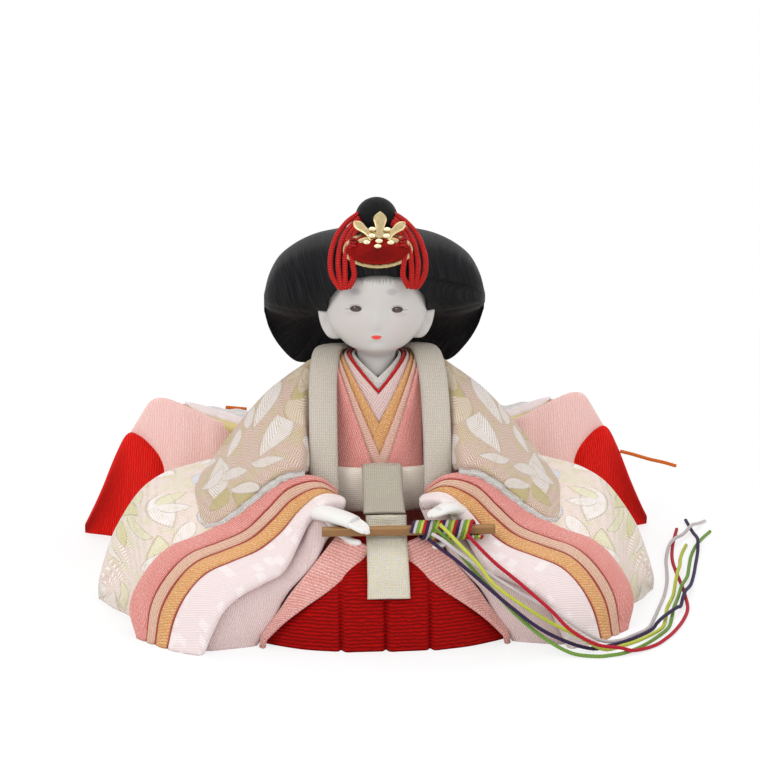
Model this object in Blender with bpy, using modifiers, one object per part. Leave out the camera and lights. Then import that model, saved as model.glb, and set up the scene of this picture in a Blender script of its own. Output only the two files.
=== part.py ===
"""A seated hina doll (the empress of a girls' day pair), built as its maker builds it.

Metres, +Z up. The doll faces -Y, its own axis is X = 0, and the middle of the underside
of its base board is the origin. "left" and "right" are the viewer's left and right.
"""

import math

import bmesh
import bpy
from mathutils import Matrix, Vector
from mathutils.bvhtree import BVHTree

# Clearances
CLEARANCE = 0.0003          # between pieces that touch
CUT_OVERRUN = 0.002         # how far a cutter runs past what it cuts
MERGE_LIMIT = 0.000001      # points closer than this are one point
FLAT_ANGLE = math.radians(3.0)

# Base board and body core
BOARD_WIDTH = 0.060
BOARD_DEPTH = 0.058
BOARD_THICKNESS = 0.005
BOARD_EDGE_ROUND = 0.0012
CORE_HEIGHT = 0.0857
CORE_HALF_WIDTH = 0.030
CORE_SEGMENTS = 14
CORE_SQUARENESS = 2.4
CORE_LEVELS = 7

# Neck peg, which plugs the head into the core
PEG_RADIUS = 0.0035
PEG_BOTTOM = 0.050
PEG_REACH = 0.0203
PEG_TOP = CORE_HEIGHT + PEG_REACH
PEG_SEGMENTS = 24
NECK_Y = -0.003

# Head, wig and crown
HEAD_HEIGHT = 0.0510
HEAD_BOTTOM = CORE_HEIGHT + CLEARANCE
HEAD_TOP = HEAD_BOTTOM + HEAD_HEIGHT
HEAD_RADIUS = 0.0196
HEAD_SEGMENTS = 20
ROUND_SQUARENESS = 2
EAR_LENGTH = 0.0115
EAR_DEPTH = 0.0055
EAR_REACH = 0.0228
EAR_DROP = 0.0320
EAR_SEGMENTS = 10
EAR_RINGS = 7
HEAD_LEVELS = 12
WIG_REACH = 0.0418
WIG_COVER = 0.0025
WIG_TOP = HEAD_TOP + WIG_COVER
WIG_HEIGHT = 0.0555
WIG_DEPTH = 0.031
WING_STATIONS = 9
BUN_RADIUS = 0.0078
BUN_HEIGHT = 0.0165
BUN_Y = 0.003
BUN_SEGMENTS = 14
BUN_RINGS = 8
HAIR_TAIL_REACH = 0.086
HAIR_TAIL_TOP = 0.084
HAIR_TAIL_WIDTH = 0.0150
HAIR_TAIL_THICKNESS = 0.0070
HAIR_TIE_LENGTH = 0.0050
HAIR_TIE_THICKNESS = 0.0009
TIE_GRIP_SHARE = 0.8
HAIR_TAIL_STATIONS = 12
HAIR_TAIL_SEGMENTS = 12
HAIR_TIE_STATION = 5
CROWN_WIDTH = 0.0258
CROWN_DEPTH = 0.0150
CROWN_THICKNESS = 0.0013
CROWN_LEAN = math.radians(52.0)
CROWN_Y = -0.0133
CROWN_DROP = 0.0049
CROWN_PAD_THICKNESS = 0.0026
PAD_WIDTH_SHARE = 0.9
PAD_DEPTH_SHARE = 0.8
PAD_SEGMENTS = 20
PAD_RINGS = 10
CROWN_POINTS = 28
COMB_WIDTH = 0.0200
COMB_HEIGHT = 0.0135
COMB_THICKNESS = 0.0009
COMB_Y = -0.0158
COMB_DROP = 0.0061
COMB_LEAN = math.radians(78.0)
COMB_BEAD_RADIUS = 0.0009
BEAD_SEGMENTS = 8
BEAD_RINGS = 5
HAIR_CORD_DIAMETER = 0.00125
HAIR_CORD_LOOPS = 2
HAIR_CORD_POINTS = 8
HAIR_CORD_TURN_POINTS = 4

# Sleeve mouths: the layered robes that fan out from each wrist
SLEEVE_REACH = 0.0927
SLEEVE_FORWARD = 0.072
SLEEVE_CREST_HEIGHT = 0.0574
BAND_THICKNESS = 0.0030
BAND_CROWN = 0.0011
WHITE_CROWN = 0.0019
BAND_STATIONS = 13
BAND_CROSS_SHARES = ((0, -0.30), (0.22, 0.85), (0.75, 1), (1, -0.30))
WRIST_START_SHARE = 0.4
LINING_THICKNESS = 0.0022
BEIGE_STRIP_SHARE = 0.42
PANEL_THICKNESS = 0.0022
PANEL_STATIONS = 10

# Brocade robe and jacket
ROBE_REACH = 0.106
ROBE_DEPTH = 0.058
ROBE_HEIGHT = 0.050
JACKET_REACH = 0.071
JACKET_DEPTH = 0.0435
JACKET_RISE = 0.0083
JACKET_HEIGHT = CORE_HEIGHT + JACKET_RISE
JACKET_BACK_WIDTH = 0.041
JACKET_BACK_DEPTH = 0.0150
JACKET_BACK_RISE = 0.0028
JACKET_BACK_HEIGHT = CORE_HEIGHT + JACKET_BACK_RISE
BACK_SQUARENESS = 4
BACK_STATIONS = 5
SECTION_STATIONS = 12
SECTION_POINTS = 9

# Rear robes, red trouser corners and train
TAIL_REACH = 0.097
TAIL_DEPTH = 0.092
TAIL_HEIGHT = 0.056
CORNER_REACH = 0.1155
CORNER_DEPTH = 0.077
CORNER_HEIGHT = 0.040
TRAIN_DEPTH = 0.096
TRAIN_HEIGHT = 0.060
TRAIN_HALF_WIDTH = 0.081
TRAIN_THICKNESS = 0.0014
TRAIN_STATIONS = 10
TRAIN_COLUMNS = 4

# Red trousers over the knees
HAKAMA_REACH = 0.0465
HAKAMA_DEPTH = 0.072
HAKAMA_HEIGHT = 0.033
PLEAT_SPACING = 0.0160
PLEAT_GROOVE_WIDTH = 0.0016
PLEAT_GROOVE_DEPTH = 0.0018
HAKAMA_STATIONS = 7
HAKAMA_TABLE_ROWS = 11
HAKAMA_PROFILE_POINTS = 6

# Collars, lapels and sash
NECKLINE_REACH = 0.0078
NECKLINE_HEIGHT = CORE_HEIGHT + NECKLINE_REACH
COLLAR_THICKNESS = 0.0010
COLLAR_PITCH = 0.0015
COLLAR_NECK_RADIUS = 0.0084
COLLAR_HEM = 0.0450
COLLAR_STATIONS = 6
CHEST_SLOPE_SHARE = 0.27
SHOULDER_SLOPE_SHARE = 0.5
NAPE_STATIONS = 4
NAPE_DEPTH_SHARE = 1.15
NAPE_SLOPE_SHARE = 0.2
NAPE_WIDTH_SHARE = 0.045
LAPEL_WIDTH = 0.0102
LAPEL_THICKNESS = 0.0026
LAPEL_OFFSET = 0.0208
LAPEL_RISE = 0.0103
LAPEL_HEIGHT = CORE_HEIGHT + LAPEL_RISE
LAPEL_DEPTH = 0.0400
LAPEL_STATIONS = 11
SASH_HEIGHT = 0.0165
SASH_BOTTOM = 0.0400
SASH_THICKNESS = 0.0022
SASH_HALF_WIDTH = 0.0240
SASH_DEPTH = 0.0305
FLAP_WIDTH = 0.0148
FLAP_THICKNESS = 0.0017
FLAP_REACH = 0.0520
FLAP_SHIFT = 0.0010
FLAP_STATIONS = 8
SASH_COLUMNS = 4

# Arms, hands and fan
ARM_RADIUS = 0.0052
ARM_STATIONS = 9
WRIST_RADIUS = 0.0036
HAND_STATIONS = 9
HAND_SEGMENTS = 10
THUMB_STATIONS = 6
THUMB_SEGMENTS = 8
FAN_LENGTH = 0.0625
FAN_DEPTH = 0.0030
FAN_THICKNESS = 0.0030
FAN_LEFT = -0.0224
FAN_Y = -0.0570
FAN_Z = 0.0408
FAN_EDGE_ROUND = 0.0004
WINDING_START = 0.0095
WINDING_LENGTH = 0.0270
WINDING_TURNS = 15
WINDING_POINTS = 10
WINDING_DIAMETER = 0.0013
CORD_DIAMETER = 0.0014
REAR_CORD_DIAMETER = 0.0015
CORD_POINTS = 40
REAR_CORD_POINTS = 6

SIDES = (("left", -1), ("right", 1))
HEAD_NODES = ("neck_peg", "head", "hair_wings", "hair_bun", "hair_tail", "hair_tie",
              "crown_plate", "crown_pad", "crown_comb", "hair_cord_left", "hair_cord_right")
FAN_NODES = ("fan", "cord_winding", "cord_red", "cord_purple", "cord_yellow", "cord_white",
             "cord_green")

# Sleeve edges, from the wrist over the crest and down to the floor, as shares of
# SLEEVE_REACH, SLEEVE_FORWARD and SLEEVE_CREST_HEIGHT
CORAL_EDGE_SHARES = (
    (0.149, -0.528, 0.819), (0.254, -0.569, 0.976), (0.388, -0.583, 1), (0.496, -0.583, 0.871),
    (0.604, -0.583, 0.723), (0.723, -0.597, 0.624), (0.852, -0.611, 0.540),
    (0.944, -0.639, 0.387), (1, -0.660, 0.183), (0.971, -0.722, 0),
)
BEIGE_EDGE_SHARES = (
    (0.147, -0.544, 0.819), (0.248, -0.597, 0.962), (0.361, -0.625, 0.937),
    (0.450, -0.653, 0.810), (0.538, -0.667, 0.674), (0.647, -0.667, 0.592),
    (0.762, -0.694, 0.528), (0.849, -0.722, 0.401), (0.909, -0.750, 0.218),
    (0.928, -0.792, 0),
)
WHITE_EDGE_SHARES = (
    (0.142, -0.561, 0.819), (0.246, -0.625, 0.878), (0.333, -0.667, 0.782),
    (0.407, -0.722, 0.671), (0.492, -0.764, 0.578), (0.591, -0.792, 0.519),
    (0.689, -0.812, 0.456), (0.763, -0.833, 0.340), (0.816, -0.861, 0.192),
    (0.847, -0.896, 0),
)
FREE_EDGE_SHARES = (
    (0.117, -0.639, 0.822), (0.209, -0.678, 0.836), (0.276, -0.706, 0.777),
    (0.319, -0.736, 0.648), (0.389, -0.865, 0.500), (0.474, -0.917, 0.439),
    (0.558, -0.944, 0.375), (0.629, -0.972, 0.284), (0.674, -0.993, 0.148),
    (0.712, -1, 0),
)
LINING_EDGE_SHARES = (
    (0.169, -0.694, 0.679), (0.220, -0.750, 0.645), (0.251, -0.792, 0.571),
    (0.285, -0.819, 0.495), (0.325, -0.840, 0.423), (0.367, -0.854, 0.354),
    (0.400, -0.861, 0.267), (0.426, -0.868, 0.174), (0.460, -0.875, 0.087),
    (0.496, -0.875, 0),
)
PANEL_INNER_SHARES = (
    (0.043, -0.792, 0.592), (0.097, -0.833, 0.514), (0.205, -0.889, 0.375),
    (0.313, -0.917, 0.261), (0.399, -0.924, 0.157), (0.469, -0.917, 0.044),
)
PANEL_OUTER_SHARES = (
    (0.178, -0.736, 0.671), (0.232, -0.785, 0.578), (0.302, -0.833, 0.453),
    (0.361, -0.854, 0.340), (0.410, -0.868, 0.218), (0.485, -0.889, 0.052),
)

# Sections across the stuffed robes: how far out, then the outline in depth and height
ROBE_SECTION_SHARES = (
    (0.297, -0.931, -0.724, 1.08, -0.086, 1, 0.517, 0.76, 0.707),
    (0.396, -0.983, -0.733, 1.02, 0, 0.99, 0.552, 0.74, 0.716),
    (0.509, -1, -0.741, 0.84, 0.086, 0.97, 0.586, 0.72, 0.724),
    (0.623, -0.966, -0.75, 0.7, 0.155, 0.93, 0.603, 0.7, 0.724),
    (0.736, -0.862, -0.759, 0.61, 0.138, 0.85, 0.586, 0.66, 0.707),
    (0.821, -0.759, -0.741, 0.48, 0.086, 0.78, 0.517, 0.56, 0.655),
    (0.887, -0.5, -0.552, 0.28, 0.017, 0.64, 0.414, 0.44, 0.569),
    (0.943, -0.362, -0.414, 0.2, -0.052, 0.47, 0.259, 0.3, 0.431),
    (0.981, -0.224, -0.276, 0.12, -0.103, 0.26, 0.086, 0.18, 0.207),
    (1, -0.172, -0.19, 0.08, -0.138, 0.12, -0.069, 0.08, -0.086),
)
JACKET_SECTION_SHARES = (
    (0.289, -0.943, 0.606, -0.621, 0.798, -0.069, 1, 0.184, 0.862, 0.322, 0.489),
    (0.394, -0.989, 0.633, -0.69, 0.766, -0.046, 0.941, 0.195, 0.809, 0.322, 0.489),
    (0.479, -1, 0.628, -0.736, 0.734, -0.023, 0.888, 0.207, 0.766, 0.322, 0.479),
    (0.577, -0.989, 0.585, -0.736, 0.691, -0.023, 0.83, 0.218, 0.702, 0.322, 0.468),
    (0.676, -0.977, 0.521, -0.713, 0.633, -0.046, 0.755, 0.23, 0.638, 0.31, 0.468),
    (0.761, -0.966, 0.468, -0.69, 0.569, -0.092, 0.681, 0.23, 0.574, 0.299, 0.468),
    (0.845, -0.943, 0.426, -0.667, 0.516, -0.115, 0.596, 0.184, 0.532, 0.253, 0.457),
    (0.93, -0.828, 0.399, -0.598, 0.457, -0.184, 0.511, 0.092, 0.484, 0.161, 0.447),
    (1, -0.667, 0.367, -0.529, 0.404, -0.299, 0.431, -0.092, 0.431, -0.023, 0.415),
)
TAIL_SECTION_SHARES = (
    (0, 0.337, 0.391, 0.714, 0.522, 0.839, 0.761, 0.821, 0.913, 0.5, 1),
    (0.165, 0.337, 0.391, 0.714, 0.522, 0.839, 0.761, 0.83, 0.913, 0.5, 1),
    (0.32, 0.462, 0.478, 0.714, 0.565, 0.857, 0.761, 0.839, 0.913, 0.5, 1),
    (0.464, 0.462, 0.489, 0.75, 0.576, 0.884, 0.761, 0.857, 0.913, 0.518, 0.995),
    (0.613, 0.467, 0.478, 0.875, 0.576, 0.911, 0.761, 0.875, 0.913, 0.536, 0.989),
    (0.695, 0.473, 0.511, 0.929, 0.609, 0.946, 0.761, 0.902, 0.891, 0.554, 0.967),
    (0.773, 0.478, 0.543, 0.973, 0.652, 0.982, 0.761, 0.911, 0.87, 0.571, 0.946),
    (0.84, 0.489, 0.587, 1, 0.663, 1, 0.761, 0.893, 0.848, 0.571, 0.913),
    (0.897, 0.511, 0.62, 0.973, 0.674, 0.964, 0.75, 0.821, 0.826, 0.5, 0.88),
    (0.954, 0.565, 0.652, 0.821, 0.696, 0.839, 0.75, 0.714, 0.793, 0.446, 0.837),
    (1, 0.652, 0.674, 0.679, 0.707, 0.732, 0.739, 0.643, 0.761, 0.393, 0.793),
)
CORNER_SECTION_SHARES = (
    (0.693, 0.649, 0.649, 0.775, 0.779, 0.775, 0.831),
    (0.745, 0.675, 0.649, 0.9, 0.805, 0.9, 0.883),
    (0.797, 0.727, 0.701, 0.988, 0.857, 0.975, 0.935),
    (0.84, 0.779, 0.753, 1, 0.896, 0.95, 0.961),
    (0.883, 0.831, 0.792, 0.787, 0.922, 0.75, 0.987),
    (0.935, 0.87, 0.831, 0.45, 0.948, 0.425, 1),
    (0.978, 0.896, 0.87, 0.188, 0.961, 0.188, 1),
    (1, 0.916, 0.909, 0.075, 0.948, 0.075, 0.981),
)
# Train rows: depth, height at the middle, height at the edge, half width
TRAIN_ROW_SHARES = (
    (0.163, 1, 1, 0.247), (0.292, 0.925, 0.933, 0.321), (0.417, 0.85, 0.867, 0.444),
    (0.542, 0.817, 0.875, 0.642), (0.667, 0.8, 0.892, 0.815), (0.76, 0.775, 0.867, 0.951),
    (0.833, 0.633, 0.667, 0.975), (0.906, 0.4, 0.417, 0.988), (0.969, 0.133, 0.15, 1),
    (1, 0.02, 0.02, 1),
)
# Trouser front: how far out, front depth, top depth and top height
HAKAMA_SECTION_SHARES = (
    (0, 1, 0.792, 1), (0.22, 1, 0.792, 0.96), (0.43, 0.986, 0.80, 0.76),
    (0.65, 0.951, 0.80, 0.53), (0.86, 0.882, 0.795, 0.27), (1, 0.819, 0.775, 0.09),
)
# Wig: how far out, front, back, underside and top
WING_SECTION_SHARES = (
    (0, -0.565, 1, 0, 1), (0.191, -0.548, 1, 0, 0.997), (0.383, -0.419, 0.984, -0.008, 0.972),
    (0.55, -0.242, 0.968, -0.018, 0.91), (0.718, -0.145, 0.903, -0.018, 0.819),
    (0.861, -0.048, 0.806, 0.073, 0.693), (0.952, 0.097, 0.645, 0.216, 0.578),
    (1, 0.258, 0.452, 0.341, 0.47),
)
# One section through the wig, as shares of its own depth and height
WING_OUTLINE_SHARES = (
    (0.45, 1), (0.11, 0.95), (0, 0.79), (0.02, 0.58), (0.22, 0.46), (0.55, 0.36),
    (0.77, 0.20), (0.86, 0), (0.95, 0.04), (1, 0.22), (1, 0.50), (0.95, 0.75), (0.76, 0.94),
)
# Head and core: height, half width, front and back
HEAD_LEVEL_SHARES = (
    (0, 0.357, -0.51, 0.204), (0.137, 0.362, -0.515, 0.209), (0.196, 0.434, -0.765, 0.408),
    (0.235, 0.612, -0.898, 0.612), (0.294, 0.765, -0.959, 0.765), (0.373, 0.908, -0.985, 0.893),
    (0.451, 0.98, -0.99, 0.969), (0.549, 1, -0.969, 0.995), (0.667, 0.949, -0.934, 0.985),
    (0.775, 0.857, -0.847, 0.918), (0.882, 0.653, -0.663, 0.791), (0.961, 0.398, -0.408, 0.536),
    (1, 0.153, -0.179, 0.255),
)
CORE_LEVEL_SHARES = (
    (0, 1, -0.983, 0.933), (0.179, 0.967, -0.967, 0.867), (0.349, 0.833, -0.95, 0.667),
    (0.471, 0.667, -0.833, 0.467), (0.592, 0.6, -0.667, 0.333), (0.738, 0.6, -0.55, 0.267),
    (0.884, 0.433, -0.383, 0.2), (0.970, 0.317, -0.283, 0.14), (1, 0.22, -0.233, 0.10),
)
# Jacket back: height, half width and depth
BACK_LEVEL_SHARES = (
    (0.52, 1, 1), (0.63, 1, 1), (0.75, 1, 0.97), (0.86, 1, 0.9), (0.94, 0.96, 0.72),
    (1, 0.7, 0.52),
)
# Hair tail: depth and height of its centre line, then its width and thickness
TAIL_PATH_SHARES = (
    (0.291, 1, 1, 1), (0.285, 0.881, 0.95, 1), (0.314, 0.774, 0.9, 0.95),
    (0.407, 0.710, 0.88, 0.9), (0.535, 0.672, 0.9, 0.85), (0.674, 0.650, 0.93, 0.8),
    (0.814, 0.628, 0.95, 0.75), (0.919, 0.570, 0.9, 0.7), (1, 0.440, 0.7, 0.5),
)
# Comb outline: right half, from the foot of its plate round to the middle prong
COMB_OUTLINE_SHARES = (
    (0, 0), (0.26, 0.02), (0.36, 0.16), (0.27, 0.30), (0.46, 0.52), (0.5, 0.66),
    (0.42, 0.74), (0.32, 0.70), (0.12, 0.40), (0.10, 0.72), (0.13, 0.86), (0.09, 0.97), (0, 1),
)

# Collar layers from the skin outwards: name, point of the V and width of the band as
# shares of the neckline's height, and colour
COLLAR_LAYER_SHARES = (
    ("collar_white", 0.924, 0.040, "paper"),
    ("collar_red", 0.880, 0.034, "red"),
    ("collar_blush", 0.853, 0.055, "blush"),
    ("collar_gold", 0.751, 0.050, "gold"),
    ("collar_rose", 0.674, 0.050, "rose"),
    ("collar_coral", 0.535, 0.165, "coral"),
)

# Hands, as shares of SLEEVE_REACH, the fan's depth and the fan's height, then half
# width and half thickness as shares of the wrist's radius
LEFT_FINGER_SHARES = (
    (0.313, 0.754, 1.054, 1.00, 0.83), (0.259, 0.842, 1.140, 1.08, 0.78),
    (0.200, 0.921, 1.162, 1.17, 0.67), (0.135, 0.993, 1.132, 1.11, 0.56),
    (0.086, 1.056, 1.064, 0.92, 0.44), (0.060, 1.075, 0.990, 0.44, 0.31),
)
LEFT_THUMB_SHARES = (
    (0.227, 0.886, 1.090, 0.72, 0.67), (0.178, 0.933, 0.968, 0.61, 0.55),
    (0.129, 0.982, 0.902, 0.53, 0.42), (0.090, 1.014, 0.892, 0.33, 0.31),
)
RIGHT_FINGER_SHARES = (
    (0.324, 0.772, 1.017, 1.00, 0.83), (0.291, 0.851, 1.113, 1.06, 0.72),
    (0.248, 0.930, 1.167, 1.00, 0.56), (0.200, 0.989, 1.152, 0.72, 0.44),
    (0.167, 1.021, 1.137, 0.36, 0.28),
)
RIGHT_THUMB_SHARES = (
    (0.286, 0.868, 1.078, 0.72, 0.67), (0.270, 0.898, 0.944, 0.61, 0.61),
    (0.232, 0.965, 0.858, 0.56, 0.44), (0.189, 1.014, 0.843, 0.33, 0.31),
)
ARM_PATH_SHARES = (
    (0.210, -0.056, 1.289, 1.00), (0.334, -0.139, 1.080, 1.00), (0.345, -0.333, 0.906, 0.92),
    (0.313, -0.530, 0.784, 0.80),
)
# Lapel, flap and sash end: depth and height of their centre lines
LAPEL_PATH_SHARES = (
    (-0.95, 0.479), (-0.76, 0.604), (-0.60, 0.750), (-0.36, 0.917), (-0.11, 1.0), (0.22, 0.88),
)
FLAP_PATH_SHARES = (
    (-0.605, 1.008), (-0.644, 0.993), (-0.692, 0.932), (-0.788, 0.854), (-0.904, 0.810),
    (-0.965, 0.787),
)
SASH_END_PATH_SHARES = (
    (-0.996, 0.784), (-1.019, 0.714), (-1.087, 0.641), (-1.202, 0.568), (-1.302, 0.462),
    (-1.358, 0.341),
)
COMB_BEAD_SHARES = ((-0.22, 0.42), (0.22, 0.42), (-0.30, 0.22), (0.30, 0.22), (0, 0.26))

# Routes of the cords that hang from the fan, across the right sleeve to the floor
RED_CORD_ROUTE = (
    (0.0295, -0.0619, 0.0405), (0.0386, -0.0672, 0.0320), (0.0475, -0.0710, 0.0252),
    (0.0583, -0.0765, 0.0166), (0.0655, -0.0796, 0.0098), (0.0748, -0.0800, 0.0044),
    (0.0834, -0.0802, 0.0030), (0.0885, -0.0789, 0.0014), (0.0966, -0.0730, 0.0008),
    (0.1030, -0.0645, 0.0008), (0.1081, -0.0550, 0.0008), (0.1124, -0.0445, 0.0008),
    (0.1153, -0.0340, 0.0008), (0.1166, -0.0200, 0.0008), (0.1172, -0.0080, 0.0008),
    (0.1175, 0.0060, 0.0008), (0.1184, 0.0220, 0.0008), (0.1215, 0.0400, 0.0008),
    (0.1263, 0.0600, 0.0008),
)
PURPLE_CORD_ROUTE = (
    (0.0156, -0.0616, 0.0390), (0.0200, -0.0644, 0.0360), (0.0248, -0.0672, 0.0330),
    (0.0329, -0.0704, 0.0266), (0.0427, -0.0735, 0.0184), (0.0545, -0.0764, 0.0096),
    (0.0654, -0.0774, 0.0042), (0.0740, -0.0753, 0.0010), (0.0800, -0.0724, 0.0008),
    (0.0880, -0.0672, 0.0008), (0.0976, -0.0576, 0.0009), (0.1006, -0.0536, 0.0022),
    (0.1034, -0.0493, 0.0028), (0.1078, -0.0424, 0.0028), (0.1108, -0.0374, 0.0024),
    (0.1130, -0.0320, 0.0010), (0.1148, -0.0260, 0.0022), (0.1166, -0.0206, 0.0028),
    (0.1192, -0.0135, 0.0018), (0.1214, -0.0060, 0.0008), (0.1240, 0.0040, 0.0008),
    (0.1265, 0.0150, 0.0008), (0.1290, 0.0260, 0.0008), (0.1303, 0.0320, 0.0018),
    (0.1315, 0.0395, 0.0028), (0.1322, 0.0470, 0.0018), (0.1322, 0.0560, 0.0008),
    (0.1319, 0.0716, 0.0008),
)
YELLOW_CORD_ROUTE = (
    (0.0199, -0.0607, 0.0440), (0.0230, -0.0640, 0.0416), (0.0268, -0.0675, 0.0382),
    (0.0330, -0.0705, 0.0321), (0.0384, -0.0719, 0.0250), (0.0474, -0.0734, 0.0183),
    (0.0582, -0.0752, 0.0116), (0.0680, -0.0762, 0.0066), (0.0777, -0.0764, 0.0012),
    (0.0860, -0.0718, 0.0008), (0.0940, -0.0652, 0.0008), (0.1022, -0.0550, 0.0008),
    (0.1052, -0.0450, 0.0008), (0.1075, -0.0340, 0.0008), (0.1120, -0.0200, 0.0008),
    (0.1148, -0.0080, 0.0018), (0.1173, 0.0020, 0.0028), (0.1198, 0.0120, 0.0018),
    (0.1216, 0.0220, 0.0008), (0.1240, 0.0310, 0.0008), (0.1268, 0.0394, 0.0008),
)
WHITE_CORD_ROUTE = (
    (0.0170, -0.0619, 0.0409), (0.0205, -0.0643, 0.0394), (0.0249, -0.0662, 0.0364),
    (0.0348, -0.0688, 0.0294), (0.0475, -0.0708, 0.0214), (0.0611, -0.0730, 0.0140),
    (0.0701, -0.0741, 0.0078), (0.0780, -0.0712, 0.0024), (0.0850, -0.0670, 0.0008),
    (0.0910, -0.0618, 0.0008), (0.0972, -0.0550, 0.0008), (0.1012, -0.0440, 0.0008),
    (0.1045, -0.0336, 0.0008), (0.1086, -0.0200, 0.0008), (0.1118, -0.0060, 0.0008),
    (0.1140, 0.0080, 0.0008), (0.1156, 0.0200, 0.0008), (0.1176, 0.0300, 0.0010),
    (0.1196, 0.0360, 0.0024), (0.1226, 0.0420, 0.0028), (0.1275, 0.0505, 0.0018),
    (0.1322, 0.0586, 0.0028), (0.1360, 0.0645, 0.0016), (0.1396, 0.0699, 0.0008),
)
GREEN_CORD_ROUTE = (
    (0.0184, -0.0612, 0.0426), (0.0225, -0.0632, 0.0390), (0.0270, -0.0647, 0.0340),
    (0.0330, -0.0676, 0.0272), (0.0400, -0.0704, 0.0201), (0.0473, -0.0732, 0.0129),
    (0.0560, -0.0768, 0.0062), (0.0655, -0.0800, 0.0014), (0.0740, -0.0824, 0.0008),
    (0.0800, -0.0816, 0.0008), (0.0854, -0.0793, 0.0008), (0.0920, -0.0734, 0.0008),
    (0.0990, -0.0644, 0.0008), (0.1046, -0.0550, 0.0008), (0.1075, -0.0450, 0.0008),
    (0.1100, -0.0340, 0.0008), (0.1132, -0.0240, 0.0014), (0.1160, -0.0150, 0.0027),
    (0.1189, -0.0065, 0.0022), (0.1214, 0.0030, 0.0008), (0.1238, 0.0140, 0.0008),
    (0.1266, 0.0260, 0.0008), (0.1305, 0.0380, 0.0008), (0.1350, 0.0480, 0.0008),
    (0.1394, 0.0561, 0.0008),
)
ORANGE_RIGHT_ROUTE = (
    (0.1026, 0.0621, 0.0338), (0.1075, 0.0620, 0.0325), (0.1145, 0.0620, 0.0303),
    (0.1205, 0.0620, 0.0288), (0.1256, 0.0620, 0.0272),
)
ORANGE_LEFT_ROUTE = (
    (-0.0573, 0.0720, 0.0519), (-0.0546, 0.0714, 0.0518), (-0.0518, 0.0707, 0.0517),
    (-0.0490, 0.0700, 0.0516),
)
# Heights of the two hair cord routes are from the top of the wig.
HAIR_CORD_OUTER_ROUTE = (
    (0.0120, 0.0009, 0.0002), (0.0151, -0.0053, -0.0009), (0.0173, -0.0112, -0.0039),
    (0.0184, -0.0150, -0.0098), (0.0183, -0.0174, -0.0150), (0.0173, -0.0184, -0.0190),
)
HAIR_CORD_INNER_ROUTE = (
    (0.0100, -0.0053, -0.0006), (0.0119, -0.0084, -0.0009), (0.0137, -0.0104, -0.0036),
    (0.0125, -0.0154, -0.0093), (0.0114, -0.0176, -0.0149), (0.0118, -0.0184, -0.0190),
)

part_collection = bpy.data.collections.new("hina_doll")
cutter_collection = bpy.data.collections.new("cutters")


def empty_scene():
    """Removes what the start-up file holds and links the two collections."""
    for thing in list(bpy.data.objects):
        bpy.data.objects.remove(thing, do_unlink=True)
    bpy.context.scene.collection.children.link(part_collection)
    bpy.context.scene.collection.children.link(cutter_collection)


def paint(name, colour, roughness=0.8, metallic=0.0):
    """A Principled material in the part's colour."""
    material = bpy.data.materials.new(name)
    material.use_nodes = True
    shader = material.node_tree.nodes["Principled BSDF"]
    shader.inputs["Base Color"].default_value = (*colour, 1.0)
    shader.inputs["Roughness"].default_value = roughness
    shader.inputs["Metallic"].default_value = metallic
    material.diffuse_color = (*colour, 1.0)
    return material


def place(thing, material=None, collection=None):
    """Puts an object in its collection, with its material."""
    for holder in list(thing.users_collection):
        holder.objects.unlink(thing)
    (collection or part_collection).objects.link(thing)
    if material:
        thing.data.materials.clear()
        thing.data.materials.append(material)
    return thing


def settle(thing):
    """Turns an object into a plain mesh in world space, with its modifiers applied."""
    bpy.context.view_layer.update()
    graph = bpy.context.evaluated_depsgraph_get()
    mesh = bpy.data.meshes.new_from_object(thing.evaluated_get(graph))
    mesh.transform(thing.matrix_world)
    name, material, holder = thing.name, thing.active_material, thing.users_collection[0]
    bpy.data.objects.remove(thing, do_unlink=True)
    solid = bpy.data.objects.new(name, mesh)
    mesh.materials.clear()
    if material:
        mesh.materials.append(material)
    holder.objects.link(solid)
    shape = bmesh.new()
    shape.from_mesh(mesh)
    bmesh.ops.remove_doubles(shape, verts=shape.verts, dist=MERGE_LIMIT)
    bmesh.ops.recalc_face_normals(shape, faces=shape.faces)
    shape.to_mesh(mesh)
    shape.free()
    return solid


def smooth_line(points, count):
    """Points along the Catmull-Rom curve through the given points, evenly by their order."""
    line = []
    last = len(points) - 1
    for step in range(count):
        place_on = step * last / (count - 1)
        index = min(int(place_on), last - 1)
        share = place_on - index
        start, end = points[index], points[index + 1]
        before = points[index - 1] if index else start * 2 - end
        after = points[index + 2] if index + 2 <= last else end * 2 - start
        slope_in = (end - before) / 2
        slope_out = (after - start) / 2
        square, cube = share * share, share ** 3
        line.append(start * (2 * cube - 3 * square + 1) + slope_in * (cube - 2 * square + share)
                    + end * (3 * square - 2 * cube) + slope_out * (cube - square))
    return line


def resample_rows(rows, count):
    """The same table read at more places, smoothly between its rows."""
    columns = []
    for column in zip(*rows):
        knots = [Vector((value, 0, 0)) for value in column]
        columns.append([knot.x for knot in smooth_line(knots, count)])
    return list(zip(*columns))


def new_solid(name, shape, material):
    """A part from a finished bmesh, with its faces pointing out."""
    bmesh.ops.remove_doubles(shape, verts=shape.verts, dist=MERGE_LIMIT)
    bmesh.ops.recalc_face_normals(shape, faces=shape.faces)
    mesh = bpy.data.meshes.new(name)
    shape.to_mesh(mesh)
    shape.free()
    return place(bpy.data.objects.new(name, mesh), material)


def loft(name, rings, material):
    """A closed solid through rings that all have the same number of points."""
    shape = bmesh.new()
    rows = [[shape.verts.new(point) for point in ring] for ring in rings]
    around = len(rows[0])
    for lower, upper in zip(rows, rows[1:]):
        for step in range(around):
            ahead = (step + 1) % around
            shape.faces.new((lower[step], lower[ahead], upper[ahead], upper[step]))
    shape.faces.new(list(reversed(rows[0])))
    shape.faces.new(rows[-1])
    return new_solid(name, shape, material)


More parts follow.
